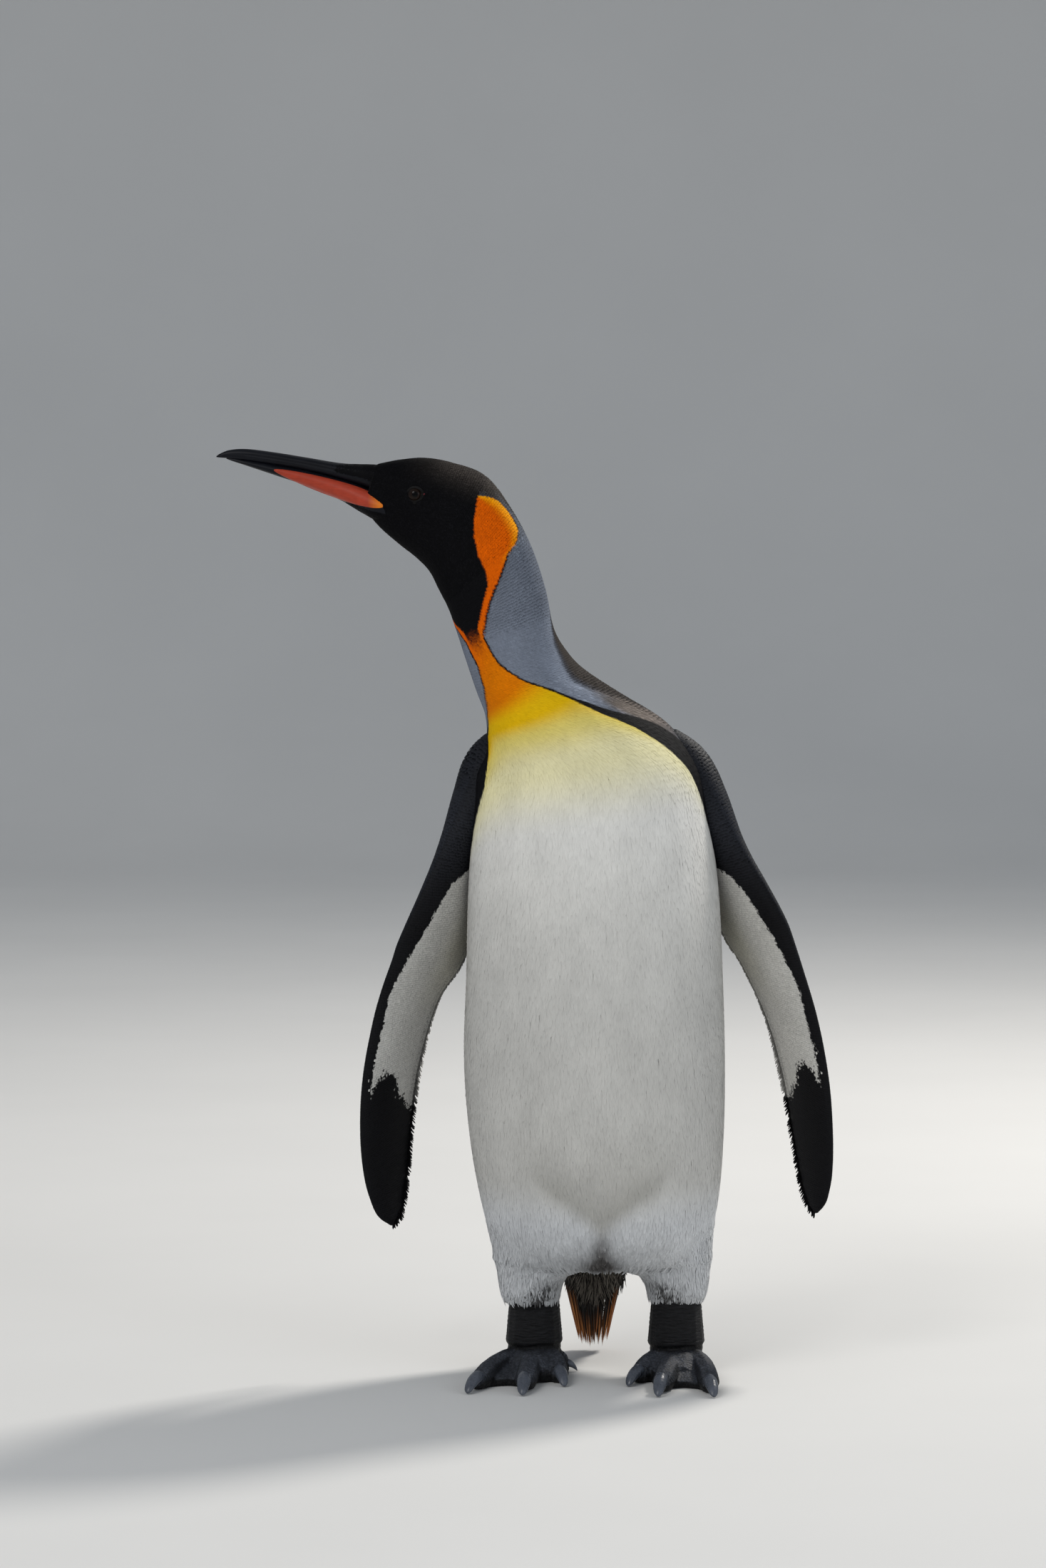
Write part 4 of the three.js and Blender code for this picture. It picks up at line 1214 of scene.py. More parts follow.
def lid_ring(side):
    """Lid: a tube round the eye, its ring drawn to a corner in front and behind."""
    ring, tube = np.meshgrid(full_turn(64), full_turn(12), indexing="ij")
    corner = np.abs(np.cos(ring)) ** 6
    wide = (6.3 + 1.1 * corner) * MM
    high = 5.9 * MM
    thick = (1.15 - 0.35 * corner) * MM
    outward = 25.5 * MM + 0.24 * wide * np.cos(ring) - 0.3 * MM * corner
    x = EYE["x"] + wide * np.cos(ring)
    z = EYE["z"] + high * np.sin(ring)
    centre = vector(x, HEAD_PLANE + side * outward, z)
    radial = vector(np.cos(ring), 0, np.sin(ring))
    outer = vector(0 * ring, side, 0)
    swell = scaled(radial, thick * np.cos(tube)) + scaled(outer, thick * 0.9 * np.sin(tube))
    points = (centre + swell).reshape(-1, 3)
    return put("lid", points, outwards(points, [tube_quads(*ring.shape, joined=True)]))


def ball(name, centre, radii, rows, around):
    """Ellipsoid from level rings, its poles along Z."""
    up = np.linspace(-np.pi / 2, np.pi / 2, rows)[1:-1, None]
    turn = full_turn(around)[None, :]
    rings = vector(np.cos(up) * np.cos(turn), np.cos(up) * np.sin(turn), np.sin(up) + 0 * turn)
    return put_closed(name, rings * np.array(radii) + np.array(centre))


def toe_frame(ankle, toe):
    """Matrix from a toe's own frame, in which it runs along -Y, to the bird's."""
    side = ankle["side"]
    place = Matrix.Translation((ankle["x"] + MIDLINE, ankle["y"], 0))
    place = place @ Matrix.Rotation(np.radians(ankle["heading"]), 4, "Z")
    place = place @ Matrix.Translation((side * toe["base"] * MM, 0, 0))
    return place @ Matrix.Rotation(np.radians(side * toe["spread"]), 4, "Z")


def in_frame(matrix, p):
    m = np.array(matrix)
    return p @ m[:3, :3].T + m[:3, 3]


def foot_relief(points, normals, ankle):
    """Height of the bare skin's folds over its smooth form, in metres.

    Tarsus: uneven level wrinkles, and a waved crease at the foot. Toes: cross scutes over their tops,
    and a raised fold round the root of each claw.
    """
    side = ankle["side"]
    x = points[:, 0] - ankle["x"] - MIDLINE
    y = points[:, 1] - ankle["y"]
    z = points[:, 2]
    turn = np.arctan2(x, -y)
    wave = z / MM + 0.9 * np.sin(3 * turn + 1) + 0.7 * np.sin(7 * turn + z / (6 * MM))
    wave += 0.6 * np.sin(z / (4 * MM) + turn)
    fold = np.abs(np.sin(np.pi * wave / 3.1)) ** 0.7 - 0.55
    uneven = 0.65 + 0.35 * np.sin(5 * turn + z / (3 * MM))
    near = np.hypot(x, y) < 31 * MM
    height = 0.55 * MM * fold * uneven * fade(z, 24 * MM, 31 * MM) * near
    crease = z / MM - 25.2 - 0.9 * np.sin(2 * turn + 0.5) - 0.5 * np.sin(5 * turn)
    height -= 0.9 * MM * np.exp(-((crease / 1.7) ** 2)) * near
    for name, toe in TOES.items():
        local = in_frame(toe_frame(ankle, toe).inverted(), points)
        reach = toe["reach"] * MM
        wide = toe["w"] * MM
        d = -local[:, 1]
        o = local[:, 0] - side * toe["bow"] * MM * np.sin(np.pi * np.clip(d / reach, 0, 1))
        on = fade(d, 14 * MM, 26 * MM) if name != "hind" else fade(d, 4 * MM, 9 * MM)
        on = on * np.exp(-((o / wide) ** 4)) * fade(normals[:, 2], -0.2, 0.3) * (z < BARE_TOP)
        pitch = (4.0 - 0.9 * np.clip(d / reach, 0, 1)) * MM
        bend = d + 0.35 * np.abs(o) ** 2 / wide + 0.5 * MM * np.sin(o / (2.2 * MM))
        height += 0.6 * MM * (np.abs(np.sin(np.pi * bend / pitch)) ** 0.6 - 0.6) * on
        root = reach - (3 if name != "hind" else 1) * MM + 0.3 * np.abs(o)
        height += 1.0 * MM * np.exp(-(((d - root) / (1.5 * MM)) ** 2)) * (np.abs(o) < wide) * (z > 2 * MM)
    return height


def foot_skin(name, ankle):
    """Fine skin of a foot and its tarsus, from their frame nodes: remeshed, smoothed and wrinkled, painted
    lighter on its folds and on the sides that face up and darker in its creases, as painted highlight and
    shade.
    """
    whole = None
    for part in ("foot_", "tarsus_"):
        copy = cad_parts[part + name].copy()
        copy.data = copy.data.copy()
        copy.hide_render = False
        bpy.context.scene.collection.objects.link(copy)
        weld = copy.modifiers.new("weld", "WELD")
        weld.merge_threshold = 1e-5
        applied(copy)
        for key in list(copy.keys()):
            del copy[key]
        if whole is None:
            whole = copy
        else:
            united(whole, [copy])
    step = whole.modifiers.new("even", "REMESH")
    step.mode = "VOXEL"
    step.voxel_size = 1.02 * MM
    soft = whole.modifiers.new("soft", "SMOOTH")
    soft.factor = 0.5
    soft.iterations = 6
    applied(whole)
    whole.name = "foot_skin_" + name
    points = points_of(whole.data)
    normals = read_vectors(whole.data.vertex_normals, "vector")
    height = foot_relief(points, normals, ankle)
    moved = points + scaled(normals, height)
    low = points[:, 2] < 1.2 * MM
    moved[low] = points[low]
    moved[:, 2] = np.maximum(moved[:, 2], 0.05 * MM)
    whole.data.vertices.foreach_set("co", moved.astype(np.float32).ravel())
    whole.data.update()
    colours = palette()
    # Painted highlight on the raised folds and painted shade in the creases.
    tone = 1 + 0.6 * np.clip(height / (0.4 * MM), -1, 1)
    # Painted light on the surfaces that face up, on the toes and webs.
    upper = fade(normals[:, 2], 0.0, 0.8) * fade(BARE_TOP - points[:, 2], 0, 6 * MM)
    rgb = mixed(colours["bare"], colours["toes"], upper)
    paint(whole, rgb * tone[:, None])
    return whole


class PENGUIN_OT_skin(bpy.types.Operator):
    """One skin under the coat, with bare feet and lids"""

    bl_idname = "penguin.skin"
    bl_label = "Skin"

    def execute(self, context):
        c = palette()
        us = np.concatenate([np.linspace(0, 0.84, 130, endpoint=False), np.linspace(0.84, 1, 76)])
        u, a, rings = point_grid(SKIN_BODY, us, 124, skin_inset(us))
        rings = hips_joined("trunk")(rings, skin_inset(u))
        # The skin takes the plumage's colours darkened: painted shade where it shows between the feathers.
        skin = self.part("penguin_skin", rings, body_marks(u, a, c)[0] * 0.8)
        others = []
        for name, surface in FLIPPERS.items():
            u, a, rings = point_grid(surface, np.linspace(0, 1, 120), 40, LIMB_DEPTH["flipper"])
            # Darkened flipper colours: painted shade where the skin shows between the feathers.
            rgb = flipper_marks(u, a, SIDES[name], c)[0] * 0.75
            others.append(self.part("flipper_skin_" + name, rings, rgb))
        for name, surface in LEGS.items():
            u, a, rings = point_grid(surface, np.linspace(0, 0.97, 60), 64, LIMB_DEPTH["leg"])
            below = fade(130 * MM - rings[..., 2], 0, 15 * MM)
            rings = mixed(rings, hips_joined(name)(rings, LIMB_DEPTH["leg"]), below)
            # Darkened leg colours: painted shade where the skin shows between the feathers.
            others.append(self.part("leg_skin_" + name, rings, leg_marks(u, a, SIDES[name], c)[0] * 0.8))
        u, a, rings = point_grid(TAIL, np.linspace(0, 1, 30), 48, LIMB_DEPTH["tail"])
        others.append(self.part("tail_skin", rings, np.broadcast_to(c["quill"], u.shape + (3,))))
        for side in HEAD_SIDES.values():
            lid = lid_ring(side)
            self.plain(lid, c["lid"])
            centre = (EYE["x"] + 8.2 * MM, HEAD_PLANE + side * 26.6 * MM, EYE["z"] + 0.2 * MM)
            corner = ball("eye_corner", centre, (2.2 * MM, 1.5 * MM, 1.5 * MM), 12, 16)
            self.plain(corner, c["caruncle"])
            others += [lid, corner]
        others += [foot_skin(name, ankle) for name, ankle in ANKLES.items()]
        united(skin, others)
        self.colour_lids(skin, c)
        nodes = [part + "_" + s for s in ("left", "right") for part in ("flipper", "leg", "tarsus", "foot")]
        finish_piece(skin, "bare_skin", skin_material(), "trunk", "neck", "head", *nodes)
        return {"FINISHED"}

    @staticmethod
    def part(name, rings, rgb):
        """Closed grid with its points painted, and its two end points as the rings beside them."""
        obj = put_closed(name, rings)
        flat = rgb.reshape(-1, 3)
        paint(obj, np.concatenate([flat, flat[:1], flat[-1:]]))
        return obj

    @staticmethod
    def colour_lids(skin, c):
        """Paints the skin round the eyes dark, with the red corner behind."""
        points = points_of(skin.data)
        across = np.abs(points[:, 1] - HEAD_PLANE)
        near = (eye_distance(points) < 12 * MM) & (across > 18 * MM)
        corner = np.hypot(points[:, 0] - EYE["x"] - 8.6 * MM, points[:, 2] - EYE["z"] - 0.2 * MM) < 1.5 * MM
        layer = skin.data.attributes["plumage"]
        rgb = np.empty(len(points) * 4, np.float32)
        layer.data.foreach_get("color", rgb)
        rgb = rgb.reshape(-1, 4)
        rgb[near, :3] = c["lid"]
        rgb[near & corner, :3] = c["caruncle"]
        layer.data.foreach_set("color", rgb.ravel())

    @staticmethod
    def plain(obj, rgb):
        """One colour for the whole piece."""
        paint(obj, np.broadcast_to(rgb, (len(obj.data.vertices), 3)))


# ---- coat ---------------------------------------------------------------------------------------
# Looks of the body's coat. front: True for the belly's half, False for the back's, None for all round.
# jitter: unevenness of the roots, in spacings. lift: spread of the tips' lift, in millimetres. late: how
# late a vane's tone turns. uneven: change of tone from vane to vane. paler: strength of the paler vanes,
# which are partly painted glints.
FRONT = {"front": True, "jitter": 0.14, "lift": 0.04, "late": 2.0, "uneven": 0.018, "paler": 1}
UPPER = {"front": False, "jitter": 0.12, "lift": 0.16, "late": 3.0, "uneven": 0.06, "paler": 1}
HEAD = {**UPPER, "front": None}
NECK = {"front": None, "jitter": 0.1, "lift": 0.05, "late": 3.0, "uneven": 0.035, "paler": 0.15}
BODY_COAT = {  # name: u from, u to, look, vane and slot
    "coat_belly": (0.0, 0.36, FRONT, NARROW, "white_plumage"),
    "coat_rump": (0.0, 0.36, UPPER, BLUNT, "grey_plumage"),
    "coat_breast": (0.36, 0.69, FRONT, NARROW, "white_plumage"),
    "coat_back": (0.36, 0.69, UPPER, BLUNT, "grey_plumage"),
    "coat_neck": (0.69, 0.83, NECK, BLUNT, "grey_plumage"),
    "coat_head": (0.83, 1.0, HEAD, SLIM, "dark_plumage"),
}
OVERLAP = 0.012  # by this much of u the rows of a piece start under the next one's


class PENGUIN_OT_body_coat(bpy.types.Operator):
    """Feathers of the trunk, neck and head"""

    bl_idname = "penguin.body_coat"
    bl_label = "Body coat"

    def execute(self, context):
        front = feather_material("plumage_front", roughness=0.68, gloss=0.05, streaks=0.08, relief=0.1)
        back = feather_material("plumage_back", roughness=0.75, gloss=0.05, streaks=0.18, relief=0.2)
        for seed, (name, (low, high, look, shape, slot)) in enumerate(BODY_COAT.items()):
            random = np.random.default_rng(SEEDS["body"] + seed)
            coat = satin if look is FRONT else grain
            high = high + OVERLAP if high < 1 else high
            u, a = self.roots((low, high), look, coat, random)
            size = self.sizes(u, look, coat, random)
            hug = 1.0
            if look is NECK:
                ruffle = mound(u, a, 0.78, 109, 0.012, 9)
                size["lift"] = size["lift"] + 0.7 * MM * ruffle * random.uniform(0, 1, len(u))
            if low == 0 and look is FRONT:
                hug = self.loosen(u, a, size, random)
            worn = 0.05 * fade(0.14 - u, 0, 0.07) if look is FRONT else 0
            obj = feathers(
                name, SKIN_BODY, u, a, size, self.marks(random, len(u), look["paler"]), shape, random,
                sway=3.5 - 1.5 * fade(u, 0.55, 0.75), hug=hug, late=look["late"],
                uneven=look["uneven"] + worn, joined=hips_joined("trunk") if low == 0 else None,
            )
            finish_piece(obj, slot, front if look is FRONT else back)
        return {"FINISHED"}

    @staticmethod
    def roots(span, look, coat, random):
        """Roots of a piece, without those under the flippers, legs and tail or on the eyes."""
        steps = lambda v: (coat("row", v), coat("gap", v))
        u, a = rooted_rows(SKIN_BODY, span, steps, random, look["jitter"])
        keep = np.ones(len(u), bool)
        if look["front"] is not None:
            keep = (np.abs(a) < np.pi / 2) == look["front"]
        place = SKIN_BODY.point(u, a, 1 * MM)
        for name, columns in (("right", RIGHT_FLIPPER), ("left", LEFT_FLIPPER)):
            keep &= ~inside_flipper(columns, SIDES[name], place, -3 * MM)
        for columns in (RIGHT_LEG, LEFT_LEG, TAIL_ROOT):
            keep &= ~inside_limb(columns, place, -3 * MM)
        bare = np.where(place[:, 0] > EYE["x"], BARE_BEHIND_EYE, BARE_BEFORE_EYE)
        keep &= (u < 0.9) | (eye_distance(place) > bare)
        return u[keep], a[keep]

    @staticmethod
    def sizes(u, look, coat, random):
        """Sizes of the vanes, each a little uneven."""
        n = len(u)
        longer = bpy.context.scene.penguin_sizes.length
        return {
            "length": coat("length", u) * longer * random.uniform(0.92, 1.08, n),
            "width": coat("width", u) * random.uniform(0.9, 1.08, n),
            "depth": skin_inset(u),
            "lift": np.abs(random.normal(0, look["lift"], n)) * MM,
        }

    @staticmethod
    def loosen(u, a, size, random):
        """Loosens the lowest vanes into a ragged hem with a tuft at the vent, and gives their hug."""
        n = len(u)
        hug = 1 - random.uniform(0.3, 1, n) * fade(0.07 - u, 0, 0.04)
        tuft = mound(u, a, 0.012, 0, 0.02, 11)
        ragged = 1 + fade(0.09 - u, 0, 0.04) * random.uniform(-0.45, 0.5, n)
        size["length"] = size["length"] * ragged * (1 - 0.3 * tuft)
        size["lift"] = size["lift"] + 3.2 * MM * tuft * random.uniform(0, 1, n)
        size["width"] = size["width"] * (1 - 0.4 * tuft)
        return hug

    @staticmethod
    def marks(random, n, paler):
        """The body's markings, with some dark feathers paler, partly as painted glints, and the throat's
        colours mingled.
        """
        c = palette()
        # A quarter of the dark feathers paler: uneven tone, partly painted glints.
        tone = 1 + paler * np.where(random.uniform(0, 1, n) < 0.25, random.uniform(0.1, 0.6, n), 0)
        loose = random.normal(0, 1, n)

        def marks(u, a):
            rgb, root, tip = body_marks(u + 0.0035 * loose * mound(u, a, 0.765, 45, 0.02, 20), a, c)
            return scaled(rgb, np.where(rgb.max(-1) < DIM, tone, 1)), root, tip

        return marks


class PENGUIN_OT_flipper_coat(bpy.types.Operator):
    """Small scale-like feathers of the flippers"""

    bl_idname = "penguin.flipper_coat"
    bl_label = "Flipper coats"

    def execute(self, context):
        c = palette()
        longer = context.scene.penguin_sizes.length
        material = feather_material("plumage_flipper", roughness=0.55, gloss=0.1, streaks=0.12, relief=0.2)
        for seed, (name, surface) in enumerate(FLIPPERS.items()):
            random = np.random.default_rng(SEEDS["flippers"] + seed)
            side = SIDES[name]
            u, a = self.roots(surface, random)
            n = len(u)
            trailing = fade(-np.cos(a), 0.0, 1.0)
            inner = side * np.sin(a) > 0
            edge = fade(-np.cos(a), 0.6, 0.85) * fade(np.cos(a), -0.95, -0.9) * fade(u, 0.3, 0.4)
            flow = np.where(inner, 1, -1) * side * (10 + 24 * trailing + 16 * edge)
            size = {
                "length": (4.9 - 1.0 * u) * MM * longer * random.uniform(0.94, 1.06, n) * (1 + 0.4 * edge),
                "width": (2.4 - 0.5 * u) * MM * random.uniform(0.9, 1.08, n),
                "depth": np.full(n, LIMB_DEPTH["flipper"]),
                "lift": np.abs(random.normal(0.04, 0.03, n)) * MM,
            }
            low = fade(u, 0.62, 0.68)  # towards the tip's edge, where white and black mingle
            loose = random.normal(0, 0.0016, n) * (1 + 2 * low)
            fleck = np.where(random.uniform(0, 1, n) < 0.05, 0.22, 0) * low
            aslant = side * np.where(inner, random.normal(0, 0.018, n) + fleck, 0)

            def marks(on_u, on_a):
                return flipper_marks(on_u + loose, on_a + aslant, side, c)

            obj = feathers(
                "coat_flipper_" + name, surface, u, a, size, marks, BLUNT, random, sway=2.5, flow=flow,
                hug=1 - 0.8 * edge, late=3.0, uneven=0.05,
            )
            finish_piece(obj, "dark_plumage", material)
            finish_piece(self.comb(name, surface, c, random), "dark_plumage", material)
        return {"FINISHED"}

    @staticmethod
    def roots(surface, random):
        """Roots in rows that rise towards the rear edge, without those inside the trunk."""
        steps = lambda v: ((2.3 - 0.4 * v) * MM, (1.7 - 0.25 * v) * MM)
        u, a = rooted_rows(surface, (0.0, 0.995), steps, random, 0.1)
        u = np.clip(u + random.uniform(-0.0012, 0.0012, len(u)) * fade(0.35 - u, 0, 0.15), 0, 1)
        u = u + 0.03 * np.cos(a) * fade(u, 0.1, 0.35) * fade(0.99 - u, 0, 0.2)
        keep = ~inside_body(surface.point(u, a, 0), -3 * MM)
        return u[keep], a[keep]

    @staticmethod
    def comb(name, surface, c, random):
        """Stiff short feathers that stand out like a comb along the rear edge and round the tip."""
        n = COMB_TEETH
        u = np.linspace(0.31, 0.997, n) + random.uniform(-0.0005, 0.0005, n)
        a = np.pi + random.uniform(-0.16, 0.16, n)
        low = fade(u, 0.5, 0.72)
        size = {
            "length": (4.2 + 2.0 * low) * MM * random.uniform(0.9, 1.1, n),
            "width": (2.0 + 0.5 * low) * MM,
            "depth": 1.4 * MM,
            "lift": (1.0 + 2.9 * low) * MM * random.uniform(0.86, 1.08, n),
        }

        def marks(on_u, on_a):
            return flipper_marks(on_u, np.full(n, np.pi), SIDES[name], c)

        return feathers(
            "coat_flipper_edge_" + name, surface, u, a, size, marks, BRISTLE, random, sway=2.5, hug=0.0,
            late=3.0, uneven=0.06,
        )


class PENGUIN_OT_leg_coat(bpy.types.Operator):
    """Long soft plumes of the legs"""

    bl_idname = "penguin.leg_coat"
    bl_label = "Leg coats"

    def execute(self, context):
        c = palette()
        hem = context.scene.penguin_sizes.hem
        material = feather_material("plumage_leg", roughness=0.6, gloss=0.1, streaks=0.12, relief=0.15)
        for seed, (name, surface) in enumerate(LEGS.items()):
            random = np.random.default_rng(SEEDS["legs"] + seed)
            side = SIDES[name]
            u, a = rooted_rows(surface, (0.1, 0.94), lambda v: (2.2 * MM, 1.3 * MM), random)
            buried = off_trunk(surface.point(u, a, 0))
            front = np.cos(a) > np.where(wrapped(-side * np.degrees(a)) > 0, -0.6, 0.25)
            keep = buried > np.where(front, -21 * MM, -3 * MM) + random.normal(0, 2 * MM, len(u))
            u, a, buried = u[keep], a[keep], buried[keep]
            n = len(u)
            length = hem * random.uniform(0.6, 1.1, n) * (1 - 0.45 * fade(u, 0.72, 0.93))
            width = 1.9 * MM * random.uniform(0.7, 1.1, n)
            lift = np.abs(random.normal(0, 0.35, n)) * (1 - 0.75 * fade(-buried, 0, 8 * MM))
            size = {
                "length": length,
                "width": width,
                "depth": 1.6 * MM - 0.9 * MM * fade(-buried, 4 * MM, 10 * MM),
                "lift": (lift - 2.4 * fade(u, 0.78, 0.94)) * MM,
            }
            loose = random.normal(0, 1, n)

            def marks(on_u, on_a):
                return leg_marks(on_u + 0.025 * loose, on_a - side * 0.15 * loose, side, c)

            inner = wrapped(-side * np.degrees(a))
            obj = feathers(
                "coat_leg_" + name, surface, u, a, size, marks, NARROW, random, sway=8.0,
                flow=side * -10 * np.exp(-(((inner - 60) / 40) ** 2)) * fade(u, 0.4, 0.7),
                hug=1 - 0.25 * fade(u, 0.75, 0.93), bent=random.normal(0, 0.05, n), uneven=0.06,
                joined=hips_joined(name),
            )
            finish_piece(obj, "white_plumage", material)
        return {"FINISHED"}


# ---- tail ---------------------------------------------------------------------------------------
class PENGUIN_OT_tail(bpy.types.Operator):
    """Stiff tail feathers, worn to rusty bristles, and the soft coverts over their roots"""

    bl_idname = "penguin.tail"
    bl_label = "Tail"

    def execute(self, context):
        c = palette()
        random = np.random.default_rng(SEEDS["tail"])
        self.quills(c, random)
        self.coverts(c, random)
        return {"FINISHED"}

    @staticmethod
    def quills(c, random):
        """Bristles from a wide root line down to a narrower one by the floor, straight and in clumps."""
        count = BRISTLES
        quill = random.integers(0, QUILLS, count)  # the quill that a bristle belongs to
        across = (quill / (QUILLS - 1) * 2 - 1) * 0.98 + random.normal(0, 0.018, QUILLS)[quill]
        worn_off = random.uniform(0, 0.07, QUILLS)[quill]
        strand = np.clip(random.normal(0, 0.45, count), -1, 1)
        layer = random.uniform(0, 1, count)
        middle = TAIL_ROOT["x"][0] + MIDLINE
        outer = fade(np.abs(across), 0.5, 1.0)
        shorter = random.uniform(0, 0.38, count) ** 2
        drop = FAN["length"] * (1.0 - 0.05 * across**2 - 0.04 * np.abs(strand) - worn_off - shorter)
        start = vector(
            middle + across * FAN["root"] / 2 + strand * 2.6 * MM,
            FAN["y"] + layer * FAN["step"] * 1.6,
            np.full(count, FAN["top"]),
        )
        end = vector(
            middle + across * FAN["tip"] / 2 + strand * 1.1 * MM + random.normal(0, 0.25, count) * MM,
            start[:, 1] + FAN["back"] * (0.9 + 0.15 * layer),
            np.maximum(start[:, 2] - drop, 1.0 * MM),
        )
        path = end - start
        lie = unit(path)
        side = unit(np.cross(lie, vector(0, -1, 0) + 0 * lie))
        out = np.cross(side, lie)
        width = random.uniform(0.5, 1.0, count) * MM
        sag = random.normal(0, 1.6, count) * MM
        bright = random.uniform(0, 1, count) ** 1.5
        red = mixed(c["rust"] + 0 * path, c["rust_tip"] + 0 * path, bright * (0.8 + 0.2 * outer))
        black = random.uniform(0, 1, count) < 0.1 + 0.25 * (np.abs(across) < 0.2)
        red = np.where(black[:, None], c["quill"] * 1.6, red) * random.uniform(0.6, 1.3, count)[:, None]
        onset = (32 + 22 * outer + random.normal(0, 5, count)) * MM
        points, colours, barb = [], [], []
        for t, wide, height in BRISTLE[0]:
            bow = scaled(out, sag * 4 * t * (1 - t)) + scaled(out, width / 2 * height)
            spot = start + path * t + scaled(side, width / 2 * wide) + bow
            points.append(spot)
            worn = fade(onset - spot[:, 2], 0, 18 * MM)
            colours.append(mixed(c["quill"] + 0 * red, red, worn))
            barb.append(vector(width / 2 * wide, 0.1 * t, strand))
        unwrap = spread_map(start[:, 1], across + 0.06 * strand)
        obj = put_vanes(
            "tail_quills", np.stack(points, 1), np.stack(colours, 1), BRISTLE, np.stack(barb, 1), unwrap
        )
        material = feather_material("plumage_tail", roughness=0.45, gloss=0.25, streaks=0.3, relief=0.3)
        finish_piece(obj, "tail_feathers", material, "tail")

    @staticmethod
    def coverts(c, random):
        """Soft plumes round the tail's root, grey below and dark at the sides and above."""
        u, a = rooted_rows(TAIL, (0.08, 0.97), lambda v: (2.0 * MM, 1.15 * MM), random)
        keep = ~inside_body(TAIL.point(u, a, 0), -4 * MM)
        u, a = u[keep], a[keep]
        n = len(u)
        own = random.uniform(0.45, 1.35, n)
        dark = random.uniform(0, 1, n) < 0.35

        def marks(on_u, on_a):
            under = fade(np.cos(on_a), 0.1, 0.8)
            rgb = mixed(c["slate"] * 0.45, c["downy"], under)
            rgb = np.where(dark[:, None], c["quill"] * 1.5, rgb)
            return scaled(rgb, own), np.full(n, 0.6), np.full(n, 1.0)

        middle = np.exp(-((np.sin(a) / 0.45) ** 2)) * (np.cos(a) > 0) * random.uniform(0.6, 1, n)
        hanging = middle * fade(u, 0.35, 0.85)
        size = {
            "length": (random.uniform(10, 19, n) + 36 * hanging) * MM,
            "width": random.uniform(0.6, 1.15, n) * MM,
            "depth": np.full(n, LIMB_DEPTH["tail"]),
            "lift": (random.normal(0.4, 1.1, n) + 9 * hanging) * MM,
        }
        obj = feathers(
            "coat_tail", TAIL, u, a, size, marks, BROAD, random, sway=9.0, bent=random.normal(0, 0.07, n),
            hug=0.6 * fade(0.8 - u, 0, 0.4),
        )
        material = feather_material(
            "plumage_tail_coverts", roughness=0.7, gloss=0.06, streaks=0.25, relief=0.3
        )
        finish_piece(obj, "grey_plumage", material)


# ---- bill ---------------------------------------------------------------------------------------
def bill_rings(columns, rows, around, groove_at, groove, square=0, raised=0.0):
    """Bill rings with a groove along each side, where the section's height is groove_at.

    groove is its depth as a share of the half width. The side named by square, 1 above and -1 below,
    has squarer shoulders, and raised lifts the top edge.
    """
    u, a = np.meshgrid(np.linspace(0, 1, rows), full_turn(around, -np.pi), indexing="ij")
    s = through(columns)(u)
    height = power(np.cos(a))
    dent = groove * np.exp(-(((height - groove_at) / 0.13) ** 2))
    dent = dent * fade(u, 0.12, 0.3) * fade(0.97 - u, 0, 0.25)
    boxy = np.cos(a) * square > 0
    across = np.sign(np.sin(a)) * np.abs(np.sin(a)) ** np.where(boxy, 0.5, 2 / ROUND)
    wide = s["w"] * across * (1 - dent)
    middle = (s["top"] + s["bottom"]) / 2
    level = middle + (s["top"] - s["bottom"]) / 2 * height + raised * fade(height, 0.2, 1.0)
    return vector(s["x"] + MIDLINE, HEAD_PLANE + wide, level)


def plate_rings(side):
    """Leaf-shaped plate on the lower bill's side: pointed in front, round behind, its rim turned in.

    Rings run along the leaf; each goes over the plate's face and back behind it, inside the bill.
    """
    at = through(LOWER_BILL)
    t, a = np.meshgrid(np.linspace(0.004, 0.9985, 90) ** 1.25, full_turn(40), indexing="ij")
    along = PLATE_BACK - PLATE_TIP
    axis = along / np.linalg.norm(along)
    across = np.array([-axis[1], axis[0]])
    half = PLATE["half"] * 1.28 * np.sqrt(np.maximum(1 - t**5, 0)) * t**0.62 * (1 - 0.22 * t)
    v = np.cos(a)
    spot = PLATE_TIP + t[..., None] * along + (half * v)[..., None] * across
    us = np.linspace(0, 1, 400)
    u = np.interp(-spot[..., 0], -at(us)["x"], us)
    s = at(u)
    middle = (s["top"] + s["bottom"]) / 2
    tall = (s["top"] - s["bottom"]) / 2
    face = np.sin(a) > 0
    edge = np.sqrt(np.abs(np.sin(a)))
    round_off = np.minimum(fade(t, 0, 0.03), fade(1 - t, 0, 0.03))
    proud = -0.3 * MM + (PLATE["proud"] + 0.3 * MM) * edge * round_off
    raised = np.where(face, proud, -PLATE["inlay"] * edge)
    height = np.clip((spot[..., 1] - middle) / (tall + np.maximum(raised, 0)), -0.985, 0.985)
    cosine = np.sign(height) * np.abs(height) ** (ROUND / 2)
    wide = (s["w"] + raised) * power(np.sqrt(1 - cosine**2))
    return vector(spot[..., 0] + MIDLINE, HEAD_PLANE + side * wide, spot[..., 1])


